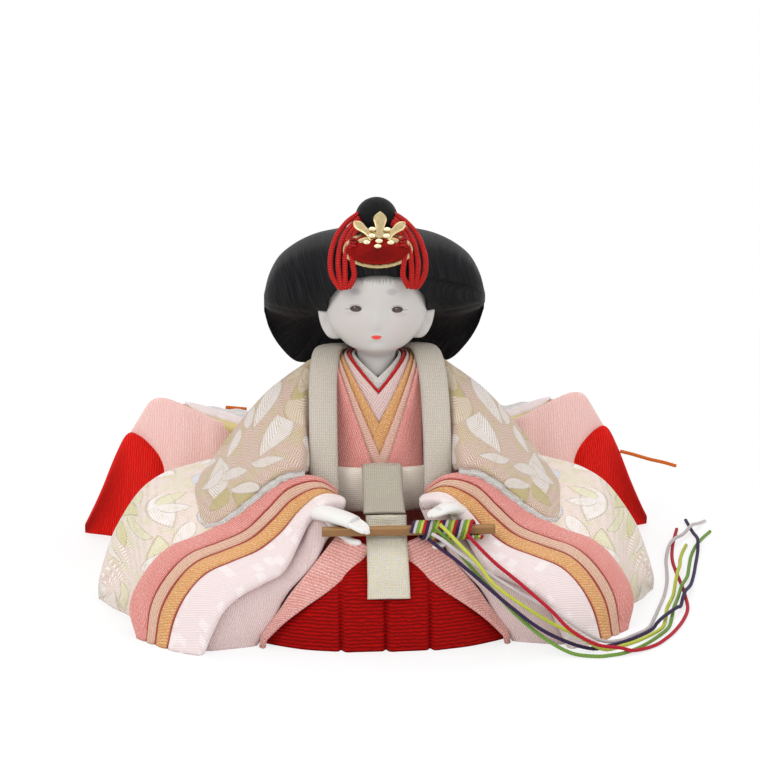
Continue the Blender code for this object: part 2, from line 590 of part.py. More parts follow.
def cloth(name, rows, thickness, material, closed=False):
    """A piece of cloth: an open grid of points given a thickness by Solidify."""
    shape = bmesh.new()
    grid = [[shape.verts.new(point) for point in row] for row in rows]
    pairs = list(zip(grid, grid[1:]))
    if closed:
        pairs.append((grid[-1], grid[0]))
    for lower, upper in pairs:
        for step in range(len(lower) - 1):
            shape.faces.new((lower[step], lower[step + 1], upper[step + 1], upper[step]))
    mesh = bpy.data.meshes.new(name)
    shape.to_mesh(mesh)
    shape.free()
    sheet = place(bpy.data.objects.new(name, mesh), material)
    thicken = sheet.modifiers.new("thickness", "SOLIDIFY")
    thicken.thickness = thickness
    thicken.offset = 0.0
    thicken.use_even_offset = True
    thicken.thickness_clamp = 1.0
    return settle(sheet)


def tube(name, points, diameter, material, resolution=2, radii=None):
    """A round cord or limb: a poly line with a bevel and filled ends."""
    curve = bpy.data.curves.new(name, "CURVE")
    curve.dimensions = "3D"
    curve.bevel_depth = diameter / 2
    curve.bevel_resolution = resolution
    curve.use_fill_caps = True
    line = curve.splines.new("POLY")
    line.points.add(len(points) - 1)
    for index, (knot, point) in enumerate(zip(line.points, points)):
        knot.co = (*point, 1.0)
        if radii:
            knot.radius = radii[index]
    return place(bpy.data.objects.new(name, curve), material)


def box(name, low, high, edge_round, material, collection=None):
    """A box between two corners, with rounded edges."""
    bpy.ops.mesh.primitive_cube_add(size=1)
    block = bpy.context.object
    block.name = name
    size = Vector(high) - Vector(low)
    block.data.transform(Matrix.Diagonal((*size, 1)))
    block.location = (Vector(high) + Vector(low)) / 2
    place(block, material, collection)
    if edge_round:
        rounding = block.modifiers.new("edges", "BEVEL")
        rounding.width = edge_round
        rounding.segments = 2
    return block


def ellipsoid(name, centre, radii, material, segments, rings):
    """A sphere stretched to its three radii."""
    bpy.ops.mesh.primitive_uv_sphere_add(segments=segments, ring_count=rings, radius=1)
    ball = bpy.context.object
    ball.name = name
    ball.data.transform(Matrix.Diagonal((*radii, 1)))
    ball.location = centre
    return place(ball, material)


def flat_outline(name, outline, thickness, material):
    """A flat outline in its own XY plane, extruded to its thickness."""
    curve = bpy.data.curves.new(name, "CURVE")
    curve.dimensions = "2D"
    curve.fill_mode = "BOTH"
    curve.extrude = thickness / 2
    line = curve.splines.new("POLY")
    line.points.add(len(outline) - 1)
    for knot, (across, up) in zip(line.points, outline):
        knot.co = (across, up, 0, 1.0)
    line.use_cyclic_u = True
    return place(bpy.data.objects.new(name, curve), material)


def swollen(thing, clearance):
    """A copy of a solid that stands proud of it by the clearance, for cutting its seat."""
    mesh = thing.data.copy()
    shape = bmesh.new()
    shape.from_mesh(mesh)
    shape.normal_update()
    moves = []
    for corner in shape.verts:
        sharpness = min(corner.calc_shell_factor(), 2.0)
        moves.append(corner.normal * (clearance * sharpness))
    for corner, move in zip(shape.verts, moves):
        corner.co += move
    shape.to_mesh(mesh)
    shape.free()
    cutter = place(bpy.data.objects.new(thing.name + "_seat", mesh), None, cutter_collection)
    cutter.hide_render = True
    cutter.display_type = "WIRE"
    return cutter


def surface_tree(thing):
    """The surface of a settled solid, for finding where it meets another."""
    return BVHTree.FromPolygons([corner.co for corner in thing.data.vertices],
                                [face.vertices for face in thing.data.polygons])


def volume_of(faces):
    """The volume that a closed set of faces encloses."""
    total = 0
    for face in faces:
        corners = [corner.co for corner in face.verts]
        for second, third in zip(corners[1:], corners[2:]):
            total += corners[0].dot(second.cross(third)) / 6
    return abs(total)


def join_flat_faces(mesh):
    """Joins faces that lie flat with each other, wherever the solid stays closed."""
    shape = bmesh.new()
    shape.from_mesh(mesh)
    bmesh.ops.dissolve_limit(shape, angle_limit=FLAT_ANGLE, verts=shape.verts, edges=shape.edges)
    bmesh.ops.triangulate(shape, faces=shape.faces)
    if all(len(edge.link_faces) == 2 for edge in shape.edges):
        shape.to_mesh(mesh)
    shape.free()


def keep_largest(mesh):
    """Leaves only the largest separate body of a mesh."""
    shape = bmesh.new()
    shape.from_mesh(mesh)
    bmesh.ops.remove_doubles(shape, verts=shape.verts, dist=MERGE_LIMIT)
    seen = set()
    bodies = []
    for start in shape.faces:
        if start in seen:
            continue
        body, queue = [], [start]
        seen.add(start)
        while queue:
            face = queue.pop()
            body.append(face)
            for edge in face.edges:
                for other in edge.link_faces:
                    if other not in seen:
                        seen.add(other)
                        queue.append(other)
        bodies.append(body)
    bodies.sort(key=volume_of, reverse=True)
    for body in bodies[1:]:
        bmesh.ops.delete(shape, geom=body, context="FACES")
    shape.to_mesh(mesh)
    shape.free()


def combine(thing, other, operation):
    """Applies one exact Boolean to a settled solid."""
    change = thing.modifiers.new(operation.lower(), "BOOLEAN")
    change.operation = operation
    change.solver = "EXACT"
    change.object = other
    bpy.context.view_layer.update()
    graph = bpy.context.evaluated_depsgraph_get()
    mesh = bpy.data.meshes.new_from_object(thing.evaluated_get(graph))
    thing.modifiers.remove(change)
    keep_largest(mesh)
    thing.data = mesh


def split_into_triangles(mesh):
    """Splits every face into triangles, which are always flat."""
    shape = bmesh.new()
    shape.from_mesh(mesh)
    bmesh.ops.triangulate(shape, faces=shape.faces)
    shape.to_mesh(mesh)
    shape.free()


def carve_in_turn(groups):
    """Cuts into each piece a seat for every earlier one that reaches into it, then joins
    the members of each group into its first.

    The seats follow the whole shapes of the earlier pieces, with the clearance all round.
    """
    seats = []
    for group in groups:
        for member in group:
            split_into_triangles(member.data)
        seats.append([swollen(member, CLEARANCE) for member in group])
    for index, group in enumerate(groups):
        for member in group:
            for seat in [seat for earlier in seats[:index] for seat in earlier]:
                if surface_tree(member).overlap(surface_tree(seat)):
                    combine(member, seat, "DIFFERENCE")
        for member in group[1:]:
            combine(group[0], member, "UNION")
            bpy.data.objects.remove(member, do_unlink=True)
        join_flat_faces(group[0].data)
    for seat in [seat for group in seats for seat in group]:
        bpy.data.objects.remove(seat, do_unlink=True)


def on_floor(points):
    """The same points with none below the floor."""
    return [Vector((point.x, point.y, max(point.z, 0))) for point in points]


def section_rings(rows, sizes, stations, points_round, side, standing):
    """Rings at each X of a table whose rows hold X and then depth and height pairs.

    A standing table's first and last pairs are feet on the floor, given by depth alone.
    """
    reach, depth, height = sizes
    rings = []
    for row in resample_rows(rows, stations):
        x, numbers = row[0] * reach, list(row[1:])
        if standing:
            numbers = [numbers[0], 0, *numbers[1:-1], numbers[-1], 0]
        pairs = zip(numbers[0::2], numbers[1::2])
        knots = [Vector((side * x, y * depth, z * height)) for y, z in pairs]
        rings.append(on_floor(smooth_line(knots, points_round)))
    return rings


def base_board(material):
    """The wooden board that everything is pinned to."""
    half_width, half_depth = BOARD_WIDTH / 2, BOARD_DEPTH / 2
    return box("base_board", (-half_width, -half_depth, 0),
               (half_width, half_depth, BOARD_THICKNESS), BOARD_EDGE_ROUND, material)


def level_ring(height, half_width, front, back, count, squareness):
    """A level ring between its front and back, as round or square as asked."""
    middle, half_depth = (front + back) / 2, (back - front) / 2
    ring = []
    for step in range(count):
        angle = 2 * math.pi * step / count
        across, along = math.cos(angle), math.sin(angle)
        x = half_width * math.copysign(abs(across) ** (2 / squareness), across)
        y = middle + half_depth * math.copysign(abs(along) ** (2 / squareness), along)
        ring.append(Vector((x, y, height)))
    return ring


def body_core(material):
    """The straw body, from the board up to the base of the neck."""
    bottom = BOARD_THICKNESS + CLEARANCE
    rings = []
    for height, width, front, back in resample_rows(CORE_LEVEL_SHARES, CORE_LEVELS):
        z = bottom + (CORE_HEIGHT - bottom) * height
        rings.append(level_ring(z, width * CORE_HALF_WIDTH, front * CORE_HALF_WIDTH,
                                back * CORE_HALF_WIDTH, CORE_SEGMENTS, CORE_SQUARENESS))
    return loft("body_core", rings, material)


def neck_peg(material):
    """The round peg that carries the head."""
    bpy.ops.mesh.primitive_cylinder_add(vertices=PEG_SEGMENTS, radius=PEG_RADIUS,
                                        depth=PEG_TOP - PEG_BOTTOM)
    peg = bpy.context.object
    peg.name = "neck_peg"
    peg.location = (0, NECK_Y, (PEG_TOP + PEG_BOTTOM) / 2)
    return place(peg, material)


def arm(name, side, material):
    """A padded wire arm from the shoulder to the wrist."""
    points, radii = [], []
    for x, y, z, radius in ARM_PATH_SHARES:
        points.append(Vector((side * x * SLEEVE_REACH, y * SLEEVE_FORWARD, z * SLEEVE_CREST_HEIGHT)))
        radii.append(radius)
    points = smooth_line(points, ARM_STATIONS)
    radii = [value[0] for value in resample_rows([(radius,) for radius in radii], ARM_STATIONS)]
    return tube(name, points, ARM_RADIUS * 2, material, 2, radii)


def limb_rings(shares, side, stations, count):
    """Oval rings square to a path, for fingers and thumbs."""
    rings = []
    rows = resample_rows(shares, stations)
    points = [Vector((side * row[0] * SLEEVE_REACH, row[1] * FAN_Y, row[2] * FAN_Z))
              for row in rows]
    for index, row in enumerate(rows):
        ahead = points[min(index + 1, stations - 1)]
        behind = points[max(index - 1, 0)]
        along = (ahead - behind).normalized()
        across = along.cross(Vector((0, 0, 1))).normalized()
        up = across.cross(along)
        ring = []
        for step in range(count):
            angle = 2 * math.pi * step / count
            ring.append(points[index] + across * (math.cos(angle) * row[3] * WRIST_RADIUS)
                        + up * (math.sin(angle) * row[4] * WRIST_RADIUS))
        rings.append(ring)
    return rings


def hand(name, side, fingers, thumb, material):
    """A hand: the fingers lie over the fan and the thumb lies under it."""
    palm = loft(name, limb_rings(fingers, side, HAND_STATIONS, HAND_SEGMENTS), material)
    below = loft(name + "_thumb", limb_rings(thumb, side, THUMB_STATIONS, THUMB_SEGMENTS),
                 material)
    return [palm, below]


def winding_radius():
    """The radius at which the cord's own centre runs round the fan."""
    corner = math.hypot(FAN_DEPTH, FAN_THICKNESS) / 2
    return corner + CLEARANCE + WINDING_DIAMETER / 2


def fan(material):
    """The folded fan: a slim bar of thin ribs."""
    low = (FAN_LEFT, FAN_Y - FAN_DEPTH / 2, FAN_Z - FAN_THICKNESS / 2)
    high = (FAN_LEFT + FAN_LENGTH, FAN_Y + FAN_DEPTH / 2, FAN_Z + FAN_THICKNESS / 2)
    return box("fan", low, high, FAN_EDGE_ROUND, material)


def fan_way():
    """The way along which the fan slides, kept open in the hands."""
    low = (FAN_LEFT - CUT_OVERRUN, FAN_Y - FAN_DEPTH / 2, FAN_Z - FAN_THICKNESS / 2)
    high = (FAN_LEFT + FAN_LENGTH * 2, FAN_Y + FAN_DEPTH / 2, FAN_Z + FAN_THICKNESS / 2)
    return settle(box("fan_way", low, high, 0, None, cutter_collection))


def winding_way():
    """The way along which the wound cord slides with the fan."""
    radius = winding_radius() + WINDING_DIAMETER / 2 + CLEARANCE
    bpy.ops.mesh.primitive_cylinder_add(vertices=PEG_SEGMENTS, radius=radius, depth=FAN_LENGTH)
    way = bpy.context.object
    way.name = "winding_way"
    way.location = (WINDING_START - WINDING_DIAMETER / 2 + FAN_LENGTH / 2, FAN_Y, FAN_Z)
    way.rotation_euler = (0, math.pi / 2, 0)
    place(way, None, cutter_collection)
    return settle(way)


def neck_room():
    """The room that the collars and the back leave for the neck."""
    radius = COLLAR_NECK_RADIUS - COLLAR_THICKNESS / 2 - CLEARANCE
    bpy.ops.mesh.primitive_cylinder_add(vertices=PEG_SEGMENTS, radius=radius,
                                        depth=PEG_TOP - CORE_HEIGHT)
    room = bpy.context.object
    room.name = "neck_room"
    room.location = (0, NECK_Y, (PEG_TOP + CORE_HEIGHT) / 2)
    place(room, None, cutter_collection)
    return settle(room)


def report_winding_gap(points):
    """Prints the least gap between one turn of the winding and the next."""
    least = min((points[index] - points[index + WINDING_POINTS + shift]).length
                for index in range(len(points) - WINDING_POINTS - 1)
                for shift in (-1, 0, 1))
    print("least gap between turns of the winding:", round(least - WINDING_DIAMETER, 6))


def cord_winding(material):
    """The cords wound round the fan, as one unbroken coil."""
    radius = winding_radius()
    points = []
    for step in range(WINDING_TURNS * WINDING_POINTS + 1):
        angle = 2 * math.pi * step / WINDING_POINTS
        x = WINDING_START + WINDING_LENGTH * step / (WINDING_TURNS * WINDING_POINTS)
        points.append(Vector((x, FAN_Y - radius * math.cos(angle),
                              FAN_Z + radius * math.sin(angle))))
    report_winding_gap(points)
    return tube("cord_winding", points, WINDING_DIAMETER, material, 1)


def free_cord(name, route, diameter, material, count):
    """A loose cord along its route."""
    return tube(name, smooth_line([Vector(point) for point in route], count), diameter, material)


def hair_cord(name, side, material):
    """One unbroken cord in hanging loops beside the crown."""
    top = Vector((0, 0, WIG_TOP))
    outer = smooth_line([Vector(point) + top for point in HAIR_CORD_OUTER_ROUTE],
                        HAIR_CORD_POINTS)
    inner = smooth_line([Vector(point) + top for point in HAIR_CORD_INNER_ROUTE],
                        HAIR_CORD_POINTS)
    strands = HAIR_CORD_LOOPS * 2
    points = []
    for strand in range(strands):
        share = strand / (strands - 1)
        line = between(outer, inner, share)
        going_down = strand % 2 == 0
        points += line if going_down else list(reversed(line))
        if strand == strands - 1:
            break
        following = between(outer, inner, (strand + 1) / (strands - 1))
        start = line[-1] if going_down else line[0]
        end = following[-1] if going_down else following[0]
        beyond = (line[-1] - line[-2]) if going_down else (line[0] - line[1])
        beyond = beyond.normalized()
        radius = (end - start).length / 2
        for step in range(1, HAIR_CORD_TURN_POINTS):
            angle = math.pi * step / HAIR_CORD_TURN_POINTS
            points.append(start.lerp(end, (1 - math.cos(angle)) / 2)
                          + beyond * (radius * math.sin(angle)))
    for point in points:
        point.x *= side
    return tube(name, points, HAIR_CORD_DIAMETER, material, 1)


def between(first, second, share):
    """A line that runs at one share of the way between two lines."""
    return [a.lerp(b, share) for a, b in zip(first, second)]


def mouth_edge(shares, count, side):
    """One edge line of a sleeve mouth, from the wrist to the floor."""
    points = [Vector((side * x * SLEEVE_REACH, y * SLEEVE_FORWARD, z * SLEEVE_CREST_HEIGHT))
              for x, y, z in shares]
    line = smooth_line(points, count)
    line[0] = line[0].lerp(line[1], WRIST_START_SHARE)
    return line


def sleeve_band(name, upper, lower, crown, material, side):
    """One padded robe layer between two edge lines, with a rounded outer face."""
    rings = []
    for index, (top, bottom) in enumerate(zip(upper, lower)):
        ahead = min(index + 1, len(upper) - 1)
        behind = max(index - 1, 0)
        along = (upper[ahead] - upper[behind]) + (lower[ahead] - lower[behind])
        across = bottom - top
        outward = along.cross(across).normalized() * -side
        inset = min(CLEARANCE / 2 / across.length, 1 / 4)
        ring = []
        for share, rise in BAND_CROSS_SHARES:
            place_on = inset + share * (1 - 2 * inset)
            ring.append(top + across * place_on + outward * (crown * rise))
        for share in (1 - inset, inset):
            ring.append(top + across * share - outward * BAND_THICKNESS)
        rings.append(on_floor(ring))
    rings[-1] = [Vector((point.x, point.y, 0)) for point in rings[-1]]
    return loft(name, rings, material)


def sleeve_mouth(label, side, paints):
    """The layers of robe at one wrist, from the innermost out, and the sleeve's lining."""
    coral, beige, white, free = [
        mouth_edge(shares, BAND_STATIONS, side)
        for shares in (CORAL_EDGE_SHARES, BEIGE_EDGE_SHARES, WHITE_EDGE_SHARES,
                       FREE_EDGE_SHARES)]
    strip = between(beige, white, BEIGE_STRIP_SHARE)
    layers = [
        sleeve_band("white_sleeve_" + label, white, free, WHITE_CROWN, paints["white"], side),
        sleeve_band("gold_sleeve_" + label, strip, white, BAND_CROWN, paints["gold"], side),
        sleeve_band("beige_sleeve_" + label, beige, strip, BAND_CROWN, paints["beige"], side),
        sleeve_band("coral_sleeve_" + label, coral, beige, BAND_CROWN, paints["coral"], side),
    ]
    inner = mouth_edge(LINING_EDGE_SHARES, BAND_STATIONS, side)
    rows = []
    for near_edge, far_edge in zip(free, inner):
        start = near_edge + Vector((0, LINING_THICKNESS * 2, -LINING_THICKNESS / 2))
        row = [start, start.lerp(far_edge, 1 / 2), far_edge]
        floor = LINING_THICKNESS / 2 + CLEARANCE
        rows.append([Vector((point.x, point.y, max(point.z, floor))) for point in row])
    layers.append(cloth("lining_sleeve_" + label, rows, LINING_THICKNESS, paints["lining"]))
    return layers


def skirt_panel(label, side, material):
    """The robe's front panel, crossing from the waist over the trousers."""
    edges = []
    for shares in (PANEL_INNER_SHARES, PANEL_OUTER_SHARES):
        points = [Vector((side * x * SLEEVE_REACH, y * SLEEVE_FORWARD, z * SLEEVE_CREST_HEIGHT))
                  for x, y, z in shares]
        edges.append(smooth_line(points, PANEL_STATIONS))
    rows = [[a, a.lerp(b, 1 / 2) + Vector((0, -PANEL_THICKNESS / 4, PANEL_THICKNESS / 4)), b]
            for a, b in zip(*edges)]
    return cloth("skirt_panel_" + label, rows, PANEL_THICKNESS, material)


def hakama_front(material):
    """The red trousers over the folded knees, with three pleats."""
    back = BOARD_DEPTH / 2 + CLEARANCE * 2
    stops = set()
    for step in range(-HAKAMA_STATIONS, HAKAMA_STATIONS + 1):
        stops.add(step / HAKAMA_STATIONS)
    for pleat in (-1, 0, 1):
        middle = pleat * PLEAT_SPACING / HAKAMA_REACH
        reach = PLEAT_GROOVE_WIDTH / HAKAMA_REACH
        stops = {stop for stop in stops if abs(stop - middle) > reach}
        stops |= {middle - reach / 2, middle, middle + reach / 2}
    rows = resample_rows(HAKAMA_SECTION_SHARES, HAKAMA_TABLE_ROWS)
    rings = []
    for stop in sorted(stops):
        place_on = abs(stop) * (len(rows) - 1)
        index = min(int(place_on), len(rows) - 2)
        row = [a + (b - a) * (place_on - index) for a, b in zip(rows[index], rows[index + 1])]
        x = stop * HAKAMA_REACH
        groove = max(0, 1 - min(abs(x - pleat * PLEAT_SPACING) for pleat in (-1, 0, 1))
                     / (PLEAT_GROOVE_WIDTH / 2)) * PLEAT_GROOVE_DEPTH
        front = -row[1] * HAKAMA_DEPTH
        top_y = -row[2] * HAKAMA_DEPTH
        top_z = row[3] * HAKAMA_HEIGHT
        knots = [Vector((x, front + groove, 0)),
                 Vector((x, front + (top_y - front) / 12 + groove, top_z / 3)),
                 Vector((x, front + (top_y - front) / 3 + groove, top_z * 3 / 4)),
                 Vector((x, top_y, top_z))]
        ring = smooth_line(knots, HAKAMA_PROFILE_POINTS)
        ring += [Vector((x, -(back - top_y) / 2, top_z)), Vector((x, -back, top_z)),
                 Vector((x, -back, 0))]
        rings.append(on_floor(ring))
    return loft("hakama_front", rings, material)


def train_skirt(material):
    """The white pleated train that is tied on behind and spreads over the robe's tail."""
    rows = []
    for depth, middle, edge, half_width in resample_rows(TRAIN_ROW_SHARES, TRAIN_STATIONS):
        row = []
        for step in range(-TRAIN_COLUMNS, TRAIN_COLUMNS + 1):
            share = step / TRAIN_COLUMNS
            z = (middle + (edge - middle) * share * share) * TRAIN_HEIGHT
            z = max(z, TRAIN_THICKNESS / 2 + CLEARANCE)
            row.append(Vector((share * half_width * TRAIN_HALF_WIDTH, depth * TRAIN_DEPTH, z)))
        rows.append(row)
    return cloth("train_skirt", rows, TRAIN_THICKNESS, material)


def chest_point(x, height, layer):
    """The point of one collar layer at a given X and height, on the front of the chest."""
    drop = NECKLINE_HEIGHT - height
    outset = layer * COLLAR_PITCH
    half_width = COLLAR_NECK_RADIUS + drop * SHOULDER_SLOPE_SHARE + outset
    depth = COLLAR_NECK_RADIUS + drop * CHEST_SLOPE_SHARE + outset
    sine = min(x / half_width, 1)
    return Vector((half_width * sine, NECK_Y - depth * math.sqrt(1 - sine * sine), height))


def nape_point(angle, height, layer):
    """The point of one collar layer at an angle past the side of the neck."""
    drop = NECKLINE_HEIGHT - height
    outset = layer * COLLAR_PITCH
    half_width = COLLAR_NECK_RADIUS + drop * SHOULDER_SLOPE_SHARE + outset
    depth = (COLLAR_NECK_RADIUS + outset) * NAPE_DEPTH_SHARE + drop * NAPE_SLOPE_SHARE
    return Vector((half_width * math.cos(angle), NECK_Y + depth * math.sin(angle), height))


def collar(name, layer, apex_share, width_share, material):
    """One collar: a V at the chest that closes in a loop round the nape."""
    apex = apex_share * NECKLINE_HEIGHT
    rise = NECKLINE_HEIGHT - apex
    opening = COLLAR_NECK_RADIUS + layer * COLLAR_PITCH
    slant = math.atan2(opening, rise)
    hang = math.atan(SHOULDER_SLOPE_SHARE)
    rows = []
    for step in range(1, COLLAR_STATIONS + 1):
        share = step / COLLAR_STATIONS
        x, height = opening * share, apex + rise * share
        turn = (math.pi / 2 - slant) * (1 - share) + hang * share
        width = (width_share * (1 - share) + NAPE_WIDTH_SHARE * share) * NECKLINE_HEIGHT
        low = max(height - width * math.cos(turn), COLLAR_HEM)
        rows.append([chest_point(x, height, layer),
                     chest_point(x + width * math.sin(turn), low, layer)])
    low = NECKLINE_HEIGHT - NAPE_WIDTH_SHARE * NECKLINE_HEIGHT * math.cos(hang)
    for step in range(1, NAPE_STATIONS):
        angle = math.pi / 2 * step / NAPE_STATIONS
        rows.append([nape_point(angle, NECKLINE_HEIGHT, layer), nape_point(angle, low, layer)])
    drop = width_share * NECKLINE_HEIGHT / math.sin(slant)
    front = [chest_point(0, apex, layer), chest_point(0, max(apex - drop, COLLAR_HEM), layer)]
    back = [nape_point(math.pi / 2, NECKLINE_HEIGHT, layer), nape_point(math.pi / 2, low, layer)]
    mirrored = [[Vector((-point.x, point.y, point.z)) for point in row] for row in rows]
    loop = [front] + rows + [back] + list(reversed(mirrored))
    return cloth(name, loop, COLLAR_THICKNESS, material, closed=True)


def strap(name, path, centre_x, width, thickness, bulge, material):
    """A flat strap along a path in depth and height, a little fuller along its middle."""
    rows = []
    for index, point in enumerate(path):
        ahead = path[min(index + 1, len(path) - 1)]
        behind = path[max(index - 1, 0)]
        along = (ahead - behind).normalized()
        outward = Vector((0, along.z, -along.y))
        if outward.y > 0 and abs(outward.y) > abs(outward.z):
            outward = -outward
        row = []
        for share in (-1 / 2, -1 / 4, 0, 1 / 4, 1 / 2):
            lift = bulge * (1 - 4 * share * share)
            row.append(Vector((centre_x + share * width, point.y, point.z)) + outward * lift)
        rows.append(row)
    return cloth(name, rows, thickness, material)


def depth_height_path(shares, depth, height, count):
    """A smooth path in the plane of depth and height."""
    return smooth_line([Vector((0, y * depth, z * height)) for y, z in shares], count)


def waist_sash(material):
    """The sash across the waist, between the lapels."""
    rows = []
    for step in range(-SASH_COLUMNS, SASH_COLUMNS + 1):
        share = step / SASH_COLUMNS
        row = []
        for rise in (0, 1 / 3, 2 / 3, 1):
            full = math.sin(math.pi * rise) * SASH_THICKNESS / 3
            y = -SASH_DEPTH + share * share * SASH_DEPTH / 5 - full - (1 - rise) * SASH_THICKNESS
            row.append(Vector((share * SASH_HALF_WIDTH, y, SASH_BOTTOM + rise * SASH_HEIGHT)))
        rows.append(row)
    return cloth("waist_sash", rows, SASH_THICKNESS, material)


def jacket_back(material):
    """The padded back of the jacket, between its sleeves."""
    rings = []
    for height, width, back in resample_rows(BACK_LEVEL_SHARES, BACK_STATIONS):
        rings.append(level_ring(height * JACKET_BACK_HEIGHT, width * JACKET_BACK_WIDTH / 2,
                                -JACKET_BACK_DEPTH / 3, back * JACKET_BACK_DEPTH,
                                CORE_SEGMENTS, BACK_SQUARENESS))
    return loft("jacket_back", rings, material)


def head(material):
    """The head on its neck, and its two ears."""
    rings = []
    for height, width, front, back in resample_rows(HEAD_LEVEL_SHARES, HEAD_LEVELS):
        rings.append(level_ring(HEAD_BOTTOM + height * HEAD_HEIGHT, width * HEAD_RADIUS,
                                front * HEAD_RADIUS, back * HEAD_RADIUS, HEAD_SEGMENTS,
                                ROUND_SQUARENESS))
    members = [loft("head", rings, material)]
    for label, side in SIDES:
        ear = ellipsoid("ear_" + label, (side * (EAR_REACH - EAR_DEPTH / 2), NECK_Y,
                                            HEAD_TOP - EAR_DROP),
                        (EAR_DEPTH / 2, EAR_DEPTH / 2, EAR_LENGTH / 2), material,
                        EAR_SEGMENTS, EAR_RINGS)
        members.append(settle(ear))
    return members


def hair_wings(material):
    """The wig: combed up over the crown and out into two round wings."""
    rings = []
    half = resample_rows(WING_SECTION_SHARES, WING_STATIONS)
    both = [(-row[0], *row[1:]) for row in reversed(half)] + half[1:]
    for x, front, back, bottom, top in both:
        ring = []
        for forward, up in WING_OUTLINE_SHARES:
            y = (front + (back - front) * forward) * WIG_DEPTH
            z = WIG_TOP - (1 - bottom - (top - bottom) * up) * WIG_HEIGHT
            ring.append(Vector((x * WIG_REACH, y, z)))
        rings.append(ring)
    return loft("hair_wings", rings, material)


def tail_point(index, share_of_width, share_of_thickness, rows):
    """A point of the hair tail's section, square to its own path."""
    row = rows[index]
    ahead = rows[min(index + 1, len(rows) - 1)]
    behind = rows[max(index - 1, 0)]
    along = Vector((0, (ahead[0] - behind[0]) * HAIR_TAIL_REACH,
                    (ahead[1] - behind[1]) * HAIR_TAIL_TOP)).normalized()
    outward = Vector((0, -along.z, along.y))
    centre = Vector((0, row[0] * HAIR_TAIL_REACH, row[1] * HAIR_TAIL_TOP))
    return (centre + Vector((share_of_width * row[2] * HAIR_TAIL_WIDTH / 2, 0, 0))
            + outward * (share_of_thickness * row[3] * HAIR_TAIL_THICKNESS / 2))


def hair_tail(material):
    """The long tail of hair that lies down the back and over the train."""
    rows = resample_rows(TAIL_PATH_SHARES, HAIR_TAIL_STATIONS)
    rings = []
    for index in range(len(rows)):
        rings.append([tail_point(index, math.cos(angle), math.sin(angle), rows)
                      for angle in [2 * math.pi * step / HAIR_TAIL_SEGMENTS
                                    for step in range(HAIR_TAIL_SEGMENTS)]])
    return loft("hair_tail", rings, material)


def hair_tie(material):
    """The white paper band tied round the tail of hair."""
    rows = resample_rows(TAIL_PATH_SHARES, HAIR_TAIL_STATIONS)
    middle = HAIR_TIE_STATION
    swell = 1 + 2 * (HAIR_TIE_THICKNESS + CLEARANCE) / HAIR_TAIL_WIDTH
    swell_thick = 1 + 2 * (HAIR_TIE_THICKNESS + CLEARANCE) / (HAIR_TAIL_THICKNESS * TIE_GRIP_SHARE)
    angles = [2 * math.pi * step / HAIR_TAIL_SEGMENTS for step in range(HAIR_TAIL_SEGMENTS)]
    rings = [[tail_point(middle, math.cos(angle) * swell, math.sin(angle) * swell_thick, rows)
              for angle in angles]]
    path = Vector((0, (rows[middle + 1][0] - rows[middle - 1][0]) * HAIR_TAIL_REACH,
                   (rows[middle + 1][1] - rows[middle - 1][1]) * HAIR_TAIL_TOP)).normalized()
    start = [point - path * (HAIR_TIE_LENGTH / 2) for point in rings[0]]
    end = [point + path * (HAIR_TIE_LENGTH / 2) for point in rings[0]]
    return loft("hair_tie", [start, end], material)


def crown_normal():
    """The direction that the tilted crown plate faces."""
    return Vector((0, -math.sin(CROWN_LEAN), math.cos(CROWN_LEAN)))


def crown_plate(material):
    """The gilt oval plate of the crown, tilted over the forehead."""
    outline = []
    for step in range(CROWN_POINTS):
        angle = 2 * math.pi * step / CROWN_POINTS
        outline.append((math.cos(angle) * CROWN_WIDTH / 2, math.sin(angle) * CROWN_DEPTH / 2))
    plate = flat_outline("crown_plate", outline, CROWN_THICKNESS, material)
    plate.location = (0, CROWN_Y, WIG_TOP - CROWN_DROP)
    plate.rotation_euler = (CROWN_LEAN, 0, 0)
    return plate


def crown_pad(material):
    """The red padded cushion on the plate."""
    shift = crown_normal() * (CROWN_THICKNESS / 2 + CROWN_PAD_THICKNESS / 4)
    pad = ellipsoid("crown_pad", Vector((0, CROWN_Y, WIG_TOP - CROWN_DROP)) + shift,
                    (CROWN_WIDTH / 2 * PAD_WIDTH_SHARE, CROWN_DEPTH / 2 * PAD_DEPTH_SHARE,
                     CROWN_PAD_THICKNESS), material, PAD_SEGMENTS, PAD_RINGS)
    pad.rotation_euler = (CROWN_LEAN, 0, 0)
    return pad


def crown_comb(material):
    """The gilt crest: a base and three prongs, with beads."""
    right = [(x * COMB_WIDTH, y * COMB_HEIGHT) for x, y in COMB_OUTLINE_SHARES]
    left = [(-x, y) for x, y in reversed(right[1:-1])]
    crest = flat_outline("crown_comb", right + left, COMB_THICKNESS, material)
    crest.location = (0, COMB_Y, WIG_TOP - COMB_DROP)
    crest.rotation_euler = (COMB_LEAN, 0, 0)
    crest = settle(crest)
    lean = Matrix.Rotation(COMB_LEAN, 4, "X")
    for x, y in COMB_BEAD_SHARES:
        spot = lean @ Vector((x * COMB_WIDTH, y * COMB_HEIGHT, COMB_THICKNESS / 2))
        bead = ellipsoid("bead", spot + Vector((0, COMB_Y, WIG_TOP - COMB_DROP)),
                         (COMB_BEAD_RADIUS, COMB_BEAD_RADIUS, COMB_BEAD_RADIUS), material,
                         BEAD_SEGMENTS, BEAD_RINGS)
        bead = settle(bead)
        combine(crest, bead, "UNION")
        bpy.data.objects.remove(bead, do_unlink=True)
    return crest


